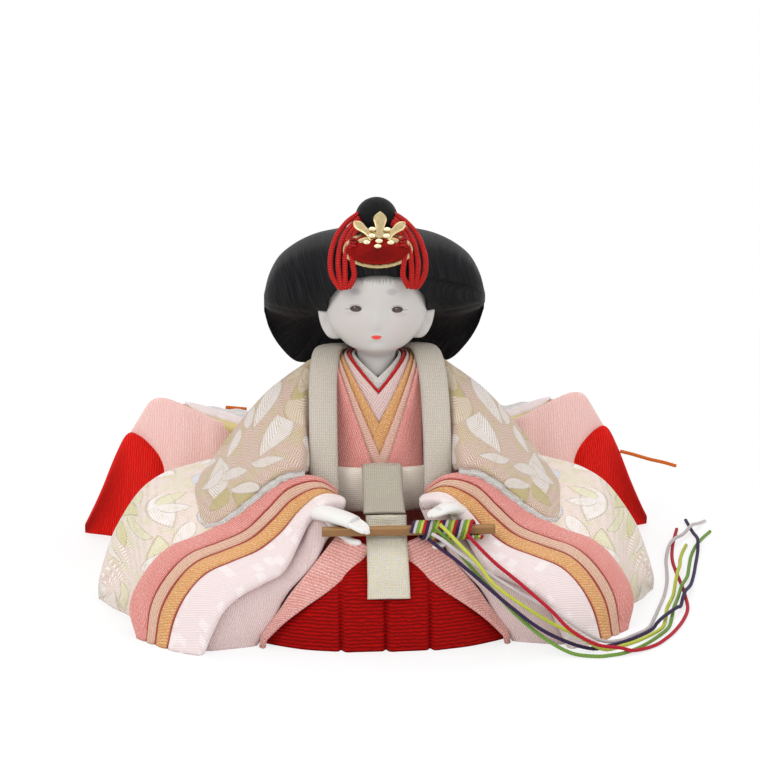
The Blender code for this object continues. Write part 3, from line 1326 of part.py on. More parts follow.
def paints():
    """The part's own materials, by the name of what they cover."""
    table = {
        "board": ((0.62, 0.45, 0.28), 0.6, 0),
        "straw": ((0.72, 0.62, 0.42), 0.9, 0),
        "skin": ((0.90, 0.89, 0.86), 0.5, 0),
        "hair": ((0.012, 0.012, 0.014), 0.45, 0),
        "paper": ((0.92, 0.91, 0.88), 0.7, 0),
        "gilt": ((0.83, 0.66, 0.34), 0.3, 1),
        "red": ((0.66, 0.010, 0.012), 0.85, 0),
        "scarlet": ((0.70, 0.015, 0.015), 0.7, 0),
        "coral": ((0.86, 0.42, 0.37), 0.85, 0),
        "beige": ((0.72, 0.50, 0.38), 0.85, 0),
        "gold": ((0.86, 0.55, 0.27), 0.55, 0),
        "white": ((0.90, 0.82, 0.80), 0.8, 0),
        "lining": ((0.88, 0.74, 0.72), 0.85, 0),
        "blush": ((0.88, 0.68, 0.66), 0.85, 0),
        "rose": ((0.84, 0.46, 0.42), 0.85, 0),
        "brocade": ((0.72, 0.64, 0.54), 0.75, 0),
        "silver": ((0.70, 0.67, 0.60), 0.5, 0),
        "wood": ((0.55, 0.33, 0.13), 0.5, 0),
        "orange": ((0.85, 0.22, 0.02), 0.7, 0),
        "purple": ((0.06, 0.03, 0.10), 0.7, 0),
        "yellow": ((0.74, 0.86, 0.16), 0.7, 0),
        "green": ((0.22, 0.42, 0.10), 0.7, 0),
    }
    return {name: paint(name, *values) for name, values in table.items()}


def soft_section(name, rows, sizes, side, material, standing=True):
    """A stuffed robe lofted through a table of sections."""
    rings = section_rings(rows, sizes, SECTION_STATIONS, SECTION_POINTS, side, standing)
    for ring in rings:
        for point in ring:
            if abs(point.x) < CLEARANCE / 2:
                point.x = side * CLEARANCE / 2
    return loft(name, rings, material)


def body_pieces(colour):
    """The pieces of the seated body, those that cut their seats in the others first."""
    guides = [fan_way(), winding_way(), neck_room()]
    pieces = [settle(base_board(colour["board"])), settle(neck_peg(colour["board"])),
              body_core(colour["straw"])]
    for label, side in SIDES:
        pieces.append(settle(arm("arm_" + label, side, colour["straw"])))
    pieces.append(hand("hand_left", -1, LEFT_FINGER_SHARES, LEFT_THUMB_SHARES, colour["skin"]))
    pieces.append(hand("hand_right", 1, RIGHT_FINGER_SHARES, RIGHT_THUMB_SHARES,
                       colour["skin"]))
    flap = depth_height_path(FLAP_PATH_SHARES, FLAP_REACH, SLEEVE_CREST_HEIGHT, FLAP_STATIONS)
    end = depth_height_path(SASH_END_PATH_SHARES, FLAP_REACH, SLEEVE_CREST_HEIGHT, FLAP_STATIONS)
    pieces.append(strap("sash_flap", flap, FLAP_SHIFT / 2, FLAP_WIDTH, FLAP_THICKNESS, 0,
                        colour["silver"]))
    pieces.append(strap("sash_end", end, FLAP_SHIFT, FLAP_WIDTH, FLAP_THICKNESS, 0,
                        colour["silver"]))
    pieces.append(waist_sash(colour["silver"]))
    lapel = depth_height_path(LAPEL_PATH_SHARES, LAPEL_DEPTH, LAPEL_HEIGHT, LAPEL_STATIONS)
    for label, side in SIDES:
        pieces.append(strap("lapel_" + label, lapel, side * LAPEL_OFFSET, LAPEL_WIDTH,
                            LAPEL_THICKNESS, LAPEL_THICKNESS / 6, colour["silver"]))
    for layer in reversed(range(len(COLLAR_LAYER_SHARES))):
        name, apex, width, tint = COLLAR_LAYER_SHARES[layer]
        pieces.append(collar(name, layer, apex, width, colour[tint]))
    for label, side in SIDES:
        pieces += sleeve_mouth(label, side, colour)
        pieces.append(skirt_panel(label, side, colour["coral"]))
    pieces.append(hakama_front(colour["red"]))
    for label, side in SIDES:
        pieces.append(soft_section("jacket_sleeve_" + label, JACKET_SECTION_SHARES,
                                   (JACKET_REACH, JACKET_DEPTH, JACKET_HEIGHT), side,
                                   colour["brocade"], standing=False))
    pieces.append(jacket_back(colour["brocade"]))
    pieces.append(train_skirt(colour["paper"]))
    for label, side in SIDES:
        pieces.append(soft_section("robe_sleeve_" + label, ROBE_SECTION_SHARES,
                                   (ROBE_REACH, ROBE_DEPTH, ROBE_HEIGHT), side,
                                   colour["brocade"]))
    for label, side in SIDES:
        pieces.append(soft_section("hakama_corner_" + label, CORNER_SECTION_SHARES,
                                   (CORNER_REACH, CORNER_DEPTH, CORNER_HEIGHT), side,
                                   colour["red"]))
    for label, side in SIDES:
        pieces.append(soft_section("robe_tail_" + label, TAIL_SECTION_SHARES,
                                   (TAIL_REACH, TAIL_DEPTH, TAIL_HEIGHT), side,
                                   colour["rose"]))
    carve_in_turn([[guide] for guide in guides]
                  + [piece if isinstance(piece, list) else [piece] for piece in pieces])
    for guide in guides:
        bpy.data.objects.remove(guide, do_unlink=True)
    return pieces[1]


def head_pieces(colour, peg):
    """The head, its wig and its crown."""
    pieces = [settle(crown_plate(colour["gilt"])), settle(crown_pad(colour["scarlet"])),
              crown_comb(colour["gilt"]), hair_wings(colour["hair"]),
              settle(ellipsoid("hair_bun", (0, BUN_Y, WIG_TOP + BUN_HEIGHT / 4),
                               (BUN_RADIUS, BUN_RADIUS, BUN_HEIGHT / 2), colour["hair"],
                               BUN_SEGMENTS, BUN_RINGS)),
              hair_tail(colour["hair"]), hair_tie(colour["paper"])]
    carve_in_turn([[peg], head(colour["skin"])] + [[piece] for piece in pieces])


def loose_cords(colour):
    """The wound cord, the five cords that hang from it and the cords at the crown."""
    cord_winding(colour["scarlet"])
    for name, route in (("red", RED_CORD_ROUTE), ("purple", PURPLE_CORD_ROUTE),
                        ("yellow", YELLOW_CORD_ROUTE), ("white", WHITE_CORD_ROUTE),
                        ("green", GREEN_CORD_ROUTE)):
        free_cord("cord_" + name, route, CORD_DIAMETER, colour[name], CORD_POINTS)
    free_cord("train_cord_right", ORANGE_RIGHT_ROUTE, REAR_CORD_DIAMETER, colour["orange"],
              REAR_CORD_POINTS)
    free_cord("train_cord_left", ORANGE_LEFT_ROUTE, REAR_CORD_DIAMETER, colour["orange"],
              REAR_CORD_POINTS)
    for label, side in SIDES:
        hair_cord("hair_cord_" + label, side, colour["scarlet"])


def put_origins_on(names, point):
    """Moves the origins of pieces that move together onto their joint's axis."""
    for name in names:
        piece = bpy.data.objects[name]
        bpy.context.view_layer.update()
        piece.data.transform(Matrix.Translation(-Vector(point)) @ piece.matrix_world)
        piece.matrix_world = Matrix.Translation(point)


empty_scene()
colours = paints()
fan(colours["wood"])
head_pieces(colours, body_pieces(colours))
loose_cords(colours)
put_origins_on(HEAD_NODES, (0, NECK_Y, CORE_HEIGHT))
put_origins_on(FAN_NODES, (FAN_LEFT, FAN_Y, FAN_Z))
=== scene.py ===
import math

import bpy
import numpy as np
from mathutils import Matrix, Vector


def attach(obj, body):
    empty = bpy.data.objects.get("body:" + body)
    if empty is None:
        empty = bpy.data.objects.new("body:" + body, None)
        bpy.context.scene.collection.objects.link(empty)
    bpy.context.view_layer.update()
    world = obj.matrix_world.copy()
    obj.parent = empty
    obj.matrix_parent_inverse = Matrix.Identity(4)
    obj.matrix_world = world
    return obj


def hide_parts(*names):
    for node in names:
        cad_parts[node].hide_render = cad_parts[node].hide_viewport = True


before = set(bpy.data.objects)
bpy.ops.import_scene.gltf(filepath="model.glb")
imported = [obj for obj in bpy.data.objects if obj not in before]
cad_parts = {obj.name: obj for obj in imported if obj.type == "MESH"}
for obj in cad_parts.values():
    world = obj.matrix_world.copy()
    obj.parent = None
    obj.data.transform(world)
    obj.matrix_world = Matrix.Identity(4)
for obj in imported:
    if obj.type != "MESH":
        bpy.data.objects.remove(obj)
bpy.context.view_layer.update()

# Table and studio. The doll sits on a white table under soft, even light. The camera looks
# down on it a little, slightly from the viewer's left, as the photograph was taken. Its
# sizes and places are in metres.
CAMERA_RISE = math.radians(15.0)
CAMERA_TURN = math.radians(3.0)
CAMERA_DISTANCE = 1.0
CAMERA_AIM = Vector((0.0015, 0.0, 0.0818))
CAMERA_LENS = 125.5
CAMERA_NEAR = 0.05
WHITE = (1.0, 1.0, 1.0, 1.0)
AIR_LIGHT = 0.62
TABLE_GLOW = 0.72
GLOW_EDGE = (0.16, 0.45)
TABLE_REACH = 6.0
TABLE_PAINT = (0.95, 0.95, 0.95, 1)
LAMPS = (("soft_left", (-0.9, -0.9, 1.1), 0.9, 9.0), ("soft_right", (1.0, -0.7, 0.9), 0.9, 4.5),
         ("soft_top", (0.0, 0.5, 1.3), 1.0, 6.0))

away = Vector((-math.sin(CAMERA_TURN) * math.cos(CAMERA_RISE),
               -math.cos(CAMERA_TURN) * math.cos(CAMERA_RISE), math.sin(CAMERA_RISE)))
camera = bpy.data.objects.new("camera", bpy.data.cameras.new("camera"))
bpy.context.scene.collection.objects.link(camera)
camera.location = CAMERA_AIM + away * CAMERA_DISTANCE
camera.rotation_euler = away.to_track_quat("Z", "Y").to_euler()
camera.data.lens = CAMERA_LENS
camera.data.clip_start = CAMERA_NEAR
bpy.context.scene.camera = camera
bpy.context.scene.view_settings.view_transform = "Standard"


def step(tree, kind, inputs=(), **settings):
    """Adds one shader node. inputs pairs a socket with a value or with another's output."""
    node = tree.nodes.new("ShaderNode" + kind)
    for name, value in settings.items():
        setattr(node, name, value)
    for socket, value in dict(inputs).items():
        if isinstance(value, bpy.types.NodeSocket):
            tree.links.new(value, node.inputs[socket])
        else:
            node.inputs[socket].default_value = value
    return node


def maths(tree, operation, *values):
    """One sum on sockets or numbers."""
    return step(tree, "Math", dict(enumerate(values)), operation=operation).outputs[0]


def between(tree, value, low, high, start=0.0, end=1.0):
    """Runs evenly from start to end while a value goes from low to high, and stays there."""
    return step(tree, "MapRange", {0: value, 1: low, 2: high, 3: start, 4: end}).outputs[0]


def seen_directly(tree):
    """1 where a ray comes from the camera, or by a gloss or through glass, and 0 elsewhere."""
    rays = step(tree, "LightPath").outputs
    seen = maths(tree, "MAXIMUM", rays["Is Camera Ray"], rays["Is Glossy Ray"])
    return maths(tree, "MAXIMUM", seen, rays["Is Transmission Ray"])


def lamp(name, place, size, power):
    """A square soft lamp that faces the doll's chest."""
    light = bpy.data.objects.new(name, bpy.data.lights.new(name, "AREA"))
    bpy.context.scene.collection.objects.link(light)
    light.data.size = size
    light.data.energy = power
    light.location = place
    light.rotation_euler = (Vector(place) - CAMERA_AIM).to_track_quat("Z", "Y").to_euler()


for values in LAMPS:
    lamp(*values)

world = bpy.data.worlds.new("studio")
world.use_nodes = True
bpy.context.scene.world = world
sky = world.node_tree
sky.nodes.clear()
air = step(sky, "Background", {"Color": WHITE, "Strength": AIR_LIGHT})
backdrop = step(sky, "Background", {"Color": WHITE, "Strength": 1.0})
both = step(sky, "MixShader", {0: seen_directly(sky), 1: air.outputs[0], 2: backdrop.outputs[0]})
sky.links.new(both.outputs[0], step(sky, "OutputWorld").inputs[0])

table_mesh = bpy.data.meshes.new("table")
table_mesh.from_pydata([(-TABLE_REACH, -TABLE_REACH, 0), (TABLE_REACH, -TABLE_REACH, 0),
                        (TABLE_REACH, TABLE_REACH, 0), (-TABLE_REACH, TABLE_REACH, 0)],
                       [], [(0, 1, 2, 3)])
table = bpy.data.objects.new("table", table_mesh)
bpy.context.scene.collection.objects.link(table)
table_paint = bpy.data.materials.new("white_table")
table_paint.use_nodes = True
plan = table_paint.node_tree
plan.nodes.clear()
matte = step(plan, "BsdfDiffuse", {"Color": TABLE_PAINT})
glow = step(plan, "Emission", {"Color": WHITE, "Strength": 1.0})
far_off = step(plan, "VectorMath", {0: step(plan, "TexCoord").outputs["Object"]},
               operation="LENGTH").outputs["Value"]
share = maths(plan, "MULTIPLY", seen_directly(plan),
              between(plan, far_off, *GLOW_EDGE, TABLE_GLOW, 1.0))
both = step(plan, "MixShader", {0: share, 1: matte.outputs[0], 2: glow.outputs[0]})
plan.links.new(both.outputs[0], step(plan, "OutputMaterial").inputs[0])
table_mesh.materials.append(table_paint)

# Five silk cords. They are wound round the fan, leave it together, run down over the right
# sleeve and trail back along the table. Each is three plies laid up with a right-hand twist.
# The points of a cord are in metres. All other sizes and places of pieces are millimetres.
mm = 0.001
CORD_DIAMETER = 1.4
CORD_PITCH = 4.2
CORD_STEP = 0.30
CORD_READINGS = 400
CORD_ROUTES = {
    "red": (
        (0.0295, -0.0619, 0.0405), (0.0386, -0.0672, 0.0320), (0.0475, -0.0710, 0.0252),
        (0.0583, -0.0765, 0.0166), (0.0655, -0.0796, 0.0098), (0.0748, -0.0800, 0.0044),
        (0.0834, -0.0802, 0.0030), (0.0885, -0.0789, 0.0014), (0.0966, -0.0730, 0.0008),
        (0.1030, -0.0645, 0.0008), (0.1081, -0.0550, 0.0008), (0.1124, -0.0445, 0.0008),
        (0.1153, -0.0340, 0.0008), (0.1166, -0.0200, 0.0008), (0.1172, -0.0080, 0.0008),
        (0.1175, 0.0060, 0.0008), (0.1184, 0.0220, 0.0008), (0.1215, 0.0400, 0.0008),
        (0.1263, 0.0600, 0.0008),
    ),
    "purple": (
        (0.0156, -0.0616, 0.0390), (0.0200, -0.0644, 0.0360), (0.0248, -0.0672, 0.0330),
        (0.0329, -0.0704, 0.0266), (0.0427, -0.0735, 0.0184), (0.0545, -0.0764, 0.0096),
        (0.0654, -0.0774, 0.0042), (0.0740, -0.0753, 0.0010), (0.0800, -0.0724, 0.0008),
        (0.0880, -0.0672, 0.0008), (0.0976, -0.0576, 0.0009), (0.1006, -0.0536, 0.0022),
        (0.1034, -0.0493, 0.0028), (0.1078, -0.0424, 0.0028), (0.1108, -0.0374, 0.0024),
        (0.1130, -0.0320, 0.0010), (0.1148, -0.0260, 0.0022), (0.1166, -0.0206, 0.0028),
        (0.1192, -0.0135, 0.0018), (0.1214, -0.0060, 0.0008), (0.1240, 0.0040, 0.0008),
        (0.1265, 0.0150, 0.0008), (0.1290, 0.0260, 0.0008), (0.1303, 0.0320, 0.0018),
        (0.1315, 0.0395, 0.0028), (0.1322, 0.0470, 0.0018), (0.1322, 0.0560, 0.0008),
        (0.1319, 0.0716, 0.0008),
    ),
    "yellow": (
        (0.0199, -0.0607, 0.0440), (0.0230, -0.0640, 0.0416), (0.0268, -0.0675, 0.0382),
        (0.0330, -0.0705, 0.0321), (0.0384, -0.0719, 0.0250), (0.0474, -0.0734, 0.0183),
        (0.0582, -0.0752, 0.0116), (0.0680, -0.0762, 0.0066), (0.0777, -0.0764, 0.0012),
        (0.0860, -0.0718, 0.0008), (0.0940, -0.0652, 0.0008), (0.1022, -0.0550, 0.0008),
        (0.1052, -0.0450, 0.0008), (0.1075, -0.0340, 0.0008), (0.1120, -0.0200, 0.0008),
        (0.1148, -0.0080, 0.0018), (0.1173, 0.0020, 0.0028), (0.1198, 0.0120, 0.0018),
        (0.1216, 0.0220, 0.0008), (0.1240, 0.0310, 0.0008), (0.1268, 0.0394, 0.0008),
    ),
    "white": (
        (0.0170, -0.0619, 0.0409), (0.0205, -0.0643, 0.0394), (0.0249, -0.0662, 0.0364),
        (0.0348, -0.0688, 0.0294), (0.0475, -0.0708, 0.0214), (0.0611, -0.0730, 0.0140),
        (0.0701, -0.0741, 0.0078), (0.0780, -0.0712, 0.0024), (0.0850, -0.0670, 0.0008),
        (0.0910, -0.0618, 0.0008), (0.0972, -0.0550, 0.0008), (0.1012, -0.0440, 0.0008),
        (0.1045, -0.0336, 0.0008), (0.1086, -0.0200, 0.0008), (0.1118, -0.0060, 0.0008),
        (0.1140, 0.0080, 0.0008), (0.1156, 0.0200, 0.0008), (0.1176, 0.0300, 0.0010),
        (0.1196, 0.0360, 0.0024), (0.1226, 0.0420, 0.0028), (0.1275, 0.0505, 0.0018),
        (0.1322, 0.0586, 0.0028), (0.1360, 0.0645, 0.0016), (0.1396, 0.0699, 0.0008),
    ),
    "green": (
        (0.0184, -0.0612, 0.0426), (0.0225, -0.0632, 0.0390), (0.0270, -0.0647, 0.0340),
        (0.0330, -0.0676, 0.0272), (0.0400, -0.0704, 0.0201), (0.0473, -0.0732, 0.0129),
        (0.0560, -0.0768, 0.0062), (0.0655, -0.0800, 0.0014), (0.0740, -0.0824, 0.0008),
        (0.0800, -0.0816, 0.0008), (0.0854, -0.0793, 0.0008), (0.0920, -0.0734, 0.0008),
        (0.0990, -0.0644, 0.0008), (0.1046, -0.0550, 0.0008), (0.1075, -0.0450, 0.0008),
        (0.1100, -0.0340, 0.0008), (0.1132, -0.0240, 0.0014), (0.1160, -0.0150, 0.0027),
        (0.1189, -0.0065, 0.0022), (0.1214, 0.0030, 0.0008), (0.1238, 0.0140, 0.0008),
        (0.1266, 0.0260, 0.0008), (0.1305, 0.0380, 0.0008), (0.1350, 0.0480, 0.0008),
        (0.1394, 0.0561, 0.0008),
    ),
}
CORD_SILKS = {"red": (0.60, 0.012, 0.035), "purple": (0.045, 0.022, 0.085),
              "yellow": (0.72, 0.83, 0.10), "white": (0.90, 0.76, 0.77),
              "green": (0.23, 0.42, 0.07)}


def smooth(knots, count, start=0.0):
    """A Catmull-Rom curve through the knots, read at count even places. Between two knots a
    value is the cubic whose slope at each knot is half the step between its neighbours."""
    knots = np.asarray(knots, float)
    padded = np.concatenate([2 * knots[:1] - knots[1:2], knots, 2 * knots[-1:] - knots[-2:-1]])
    place = np.linspace(start, len(knots) - 1, count)
    low = np.minimum(place.astype(int), len(knots) - 2)
    t = (place - low).reshape(-1, *[1] * (knots.ndim - 1))
    a, b, c, d = (padded[low + shift] for shift in range(4))
    return b + t / 2 * (c - a + t * (2 * a - 5 * b + 4 * c - d + t * (3 * (b - c) + d - a)))


def lengths_along(points):
    """The length of a polyline from its start to each of its points."""
    steps = np.linalg.norm(np.diff(points, axis=0), axis=-1)
    return np.concatenate([np.zeros_like(steps[:1]), np.cumsum(steps, 0)])


def even(points, spacing):
    """The same polyline read at even steps of its own length."""
    done = lengths_along(points)
    stops = np.linspace(0, done[-1], max(int(done[-1] / spacing), 2) + 1)
    return np.stack([np.interp(stops, done, points[:, axis]) for axis in range(3)], 1)


def unit(vectors):
    """Each vector divided by its own length."""
    return vectors / np.linalg.norm(vectors, axis=-1, keepdims=True)


def sweep(path, profile, reference=(0.0, 0.0, 1.0)):
    """A profile carried along a path. A profile point (a, b) lands a to the side of the path
    and b upwards, where side is square to the path and to the reference direction. There is
    one profile for the whole path, or one for each of its points."""
    along = unit(np.gradient(path, axis=0))
    side = unit(np.cross(along, np.asarray(reference, float)))
    up = np.cross(side, along)
    profile = np.broadcast_to(profile, (len(path), *np.shape(profile)[-2:]))
    return (path[:, None] + side[:, None] * profile[..., :1] + up[:, None] * profile[..., 1:])


def circle(count):
    """Even angles once round a circle."""
    return np.linspace(0, 2 * np.pi, count, endpoint=False)


def plied(path, diameter, pitch, plies=3, around=18, depth=0.26):
    """The profiles of a twisted cord. At angle a and length s the radius is the full radius
    less a groove, and the grooves between the plies turn once in each pitch."""
    turn = circle(around)
    twist = lengths_along(path)[:, None] * 2 * np.pi / pitch
    lobes = np.abs(np.cos((turn - twist) * plies / 2))
    radius = diameter / 2 * (1 - depth + depth * np.sqrt(lobes))
    return np.stack([radius * np.cos(turn), radius * np.sin(turn)], -1)


def corners_of(cells):
    """The four corner values of each cell of a grid, cell by cell."""
    return np.stack([cells[:-1, :-1], cells[:-1, 1:], cells[1:, 1:], cells[1:, :-1]],
                    2).reshape(-1, 4, *cells.shape[2:])


def mesh_of(name, grids):
    """One mesh from grids of points in millimetres. Every cell of a grid becomes a face, the
    last column joins the first, and a fan closes the first row and the last. Its UV map
    holds lengths over the surface, in millimetres: along the row of a grid, and from row to
    row."""
    points, faces, places, first = [], [], [], 0
    for grid in grids:
        rows, cols = grid.shape[:2]
        index = np.arange(rows * cols).reshape(rows, cols)
        index = np.concatenate([index, index[:, :1]], 1)
        shown = np.concatenate([grid, grid[:, :1]], 1)
        laid = np.stack([lengths_along(shown.transpose(1, 0, 2)).T, lengths_along(shown)], 2)
        quads, quad_places = corners_of(index), corners_of(laid)
        a, b, c, d = (grid.reshape(-1, 3)[quads[:, corner]] for corner in range(4))
        from_middle = a + b + c + d - 4 * grid.mean((0, 1))
        inside_out = np.sum(np.cross(c - a, d - b) * from_middle) < 0
        if inside_out:
            quads, quad_places = quads[:, ::-1], quad_places[:, ::-1]
        faces += (quads + first).tolist()
        places.append(quad_places.reshape(-1, 2))
        points.append(grid.reshape(-1, 3))
        hub = first + rows * cols
        for row in (0, rows - 1):
            rim = np.stack([index[row, :-1], index[row, 1:], index[row, 1:]], 1) + first
            rim[:, 2] = hub
            rim_places = np.stack([laid[row, :-1], laid[row, 1:],
                                   np.repeat(laid[row].mean(0)[None], len(rim), 0)], 1)
            if (row == 0) != inside_out:
                rim, rim_places = rim[:, ::-1], rim_places[:, ::-1]
            faces += rim.tolist()
            places.append(rim_places.reshape(-1, 2))
            points.append(grid[row].mean(0, keepdims=True))
            hub += 1
        first = hub
    mesh = bpy.data.meshes.new(name)
    mesh.from_pydata((np.concatenate(points) * mm).tolist(), [], faces)
    mesh.uv_layers.new(name="lengths").data.foreach_set("uv", np.concatenate(places).ravel())
    mesh.polygons.foreach_set("use_smooth", np.ones(len(faces), bool))
    return mesh


def put(name, grids, material, body, nodes):
    """Makes a piece, lets it move with its body and stand for its CAD nodes."""
    piece = bpy.data.objects.new(name, mesh_of(name, grids))
    bpy.context.scene.collection.objects.link(piece)
    piece.data.materials.append(material)
    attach(piece, body)
    if nodes:
        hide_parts(*nodes)
    return piece


def finish_of(name, roughness, **constants):
    """A new material with its constant values on the shader's own sockets."""
    material = bpy.data.materials.new(name)
    material.use_nodes = True
    shader = material.node_tree.nodes["Principled BSDF"]
    shader.inputs["Roughness"].default_value = roughness
    for socket, value in constants.items():
        shader.inputs[socket.replace("_", " ")].default_value = value
    return material, material.node_tree, shader


def lengths_on(tree):
    """The two lengths over the surface, in millimetres."""
    parts = step(tree, "SeparateXYZ", {0: step(tree, "UVMap", uv_map="lengths").outputs[0]})
    return parts.outputs[0], parts.outputs[1]


def in_cells(tree, across, along, wide, long):
    """The place on the surface, counted in cells that are wide by long millimetres."""
    return step(tree, "CombineXYZ", {0: maths(tree, "DIVIDE", across, wide),
                                     1: maths(tree, "DIVIDE", along, long)}).outputs[0]


def grain(tree, across, along, wide, long, detail=2.0):
    """Soft noise from 0 to 1, whose grains are wide by long millimetres."""
    return step(tree, "TexNoise", {"Vector": in_cells(tree, across, along, wide, long),
                                   "Scale": 1.0, "Detail": detail}).outputs[0]


def ridges(tree, length, period, wobble=0.0, amount=0.0):
    """Round ridges across a length: half of one plus the sine of 2 pi length / period, with
    a wobble times an amount added to the phase."""
    phase = maths(tree, "MULTIPLY", length, 2 * math.pi / period)
    if amount:
        phase = maths(tree, "MULTIPLY_ADD", wobble, amount, phase)
    return maths(tree, "MULTIPLY_ADD", maths(tree, "SINE", phase), 0.5, 0.5)


def mixed(tree, share, first, second):
    """Two colours mixed by a share."""
    return step(tree, "Mix", {0: share, 6: first, 7: second}, data_type="RGBA").outputs[2]


def tint(colour, factor=1.0):
    """A colour made lighter or darker, for a shader socket."""
    return tuple(min(part * factor, 1.0) for part in colour[:3]) + (1.0,)


def dyed(tree, shader, colour):
    """Gives the surface a colour that follows a pattern."""
    tree.links.new(colour, shader.inputs["Base Color"])


def raised(tree, shader, height, depth):
    """Gives the surface relief, where height 1 stands depth millimetres above height 0."""
    bump = step(tree, "Bump", {"Height": height, "Distance": depth * mm})
    tree.links.new(bump.outputs[0], shader.inputs["Normal"])


def cord_silk(name, colour, pitch=CORD_PITCH, around=CORD_DIAMETER * math.pi, braid=0.0):
    """Twisted silk: fine filaments that slant over each ply, paler where they catch light. A
    braid whose strands have the width given shows them in herringbone, with painted shade in the
    gaps."""
    material, tree, shader = finish_of(name, 0.6, Sheen_Weight=0.05, Specular_IOR_Level=0.2)
    across, along = lengths_on(tree)
    slant = maths(tree, "MULTIPLY_ADD", along, -around / pitch * 1.9, across)
    filaments = ridges(tree, slant, 0.42)
    share = maths(tree, "MULTIPLY", filaments, grain(tree, across, along, 0.25, 0.6, 3.0))
    if braid:
        zigzag = maths(tree, "PINGPONG", across, braid)
        strands = ridges(tree, maths(tree, "MULTIPLY_ADD", zigzag, 0.9, along), braid)
        light = mixed(tree, share, tint(colour), tint(colour, 1.5))
        # Painted shade: the gaps between the braid's strands are darkened.
        dyed(tree, shader, mixed(tree, strands, tint(colour, 0.42), light))
        raised(tree, shader, strands, 0.30)
    else:
        dyed(tree, shader, mixed(tree, share, tint(colour, 0.62), tint(colour, 1.45)))
        raised(tree, shader, filaments, 0.05)
    return material


silks = {name: cord_silk("silk_" + name, colour) for name, colour in CORD_SILKS.items()}
for name, route in CORD_ROUTES.items():
    path = even(smooth(route, CORD_READINGS) / mm, CORD_STEP)
    cord = put("trailing_cord_" + name, [sweep(path, plied(path, CORD_DIAMETER, CORD_PITCH))],
               silks[name], "fan", ["cord_" + name])

# Two short ends of the orange cord that ties the train on. One stands out past the red
# corner on the right, and the other lies on the train on the left.
ORANGE_DIAMETER = 1.5
ORANGE_READINGS = 80
ORANGE_ROUTES = {
    "right": (
        (0.1026, 0.0621, 0.0338), (0.1075, 0.0620, 0.0325), (0.1145, 0.0620, 0.0303),
        (0.1205, 0.0620, 0.0288), (0.1256, 0.0620, 0.0272),
    ),
    "left": (
        (-0.0573, 0.0720, 0.0519), (-0.0546, 0.0714, 0.0518), (-0.0518, 0.0707, 0.0517),
        (-0.0490, 0.0700, 0.0516),
    ),
}
silks["orange"] = cord_silk("silk_orange", (0.90, 0.17, 0.012))
for label, route in ORANGE_ROUTES.items():
    path = even(smooth(route, ORANGE_READINGS) / mm, CORD_STEP)
    put("tie_cord_" + label, [sweep(path, plied(path, ORANGE_DIAMETER, CORD_PITCH))],
        silks["orange"], "root", ["train_cord_" + label])

# Inside of the doll: the paulownia board, the straw body that the robes are sewn to and the
# two arms, both wrapped in coral cloth, and the wooden peg that the head is pushed onto.
# Little more than undersides, ends and one gap beside the sash shows.


def place_on(tree):
    """The place of a point of the doll: X, depth and height, in millimetres."""
    parts = step(tree, "SeparateXYZ", {0: step(tree, "TexCoord").outputs["Object"]}).outputs
    return [maths(tree, "DIVIDE", part, mm) for part in parts]


def plain_stuff(name, light, dark, roughness, wide, long):
    """Wood or plain cotton: streaks, long one way, of a lighter and a darker tone."""
    material, tree, shader = finish_of(name, roughness)
    x, y = place_on(tree)[:2]
    streaks = grain(tree, x, y, wide, long, 4.0)
    dyed(tree, shader, mixed(tree, streaks, tint(dark), tint(light)))
    raised(tree, shader, streaks, 0.15)
    return material


def finish_node(node, material):
    """Keeps a node of the CAD model as it is, under a finish of its own."""
    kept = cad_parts[node]
    kept.data.materials.clear()
    kept.data.materials.append(material)


board_wood = plain_stuff("paulownia", (0.70, 0.52, 0.33), (0.52, 0.35, 0.20), 0.6, 40.0, 1.2)
coral_wrap = plain_stuff("coral_wrap", (0.84, 0.30, 0.25), (0.60, 0.12, 0.10), 0.9, 0.7, 0.9)
for node in ("base_board", "neck_peg"):
    finish_node(node, board_wood)
for node in ("body_core", "arm_left", "arm_right"):
    finish_node(node, coral_wrap)

# Red silk trousers over the folded knees: thick crepe with ribs that run across and waver,
# laid in flat pleats with three deep folds, and hemmed at the table.
KNEE_REACH = 46.5
KNEE_BACK = -29.6
PLEATS = (-16.0, 0.0, 16.0)
PLEAT_DEPTH = 1.8
PLEAT_HALF_WIDTH = 0.8
LAP_SHIFT, LAP_FADE, LAP_DEPTH = 2.5, 3.5, 0.7
HEM_TUCK = 0.4
KNEE_PROFILE = ((0, -72, -57, 33), (10, -72, -57, 31.7), (20, -71, -57.6, 25),
                (30, -68.5, -57.6, 17.5), (40, -63.5, -57.2, 8.9), (46.5, -59, -55.8, 3))
# Painted shade: the trousers' red is darkened for the shade on their front, which faces forward and
# down.
SHADED_TROUSER_RED = (0.44, 0.0015, 0.001)


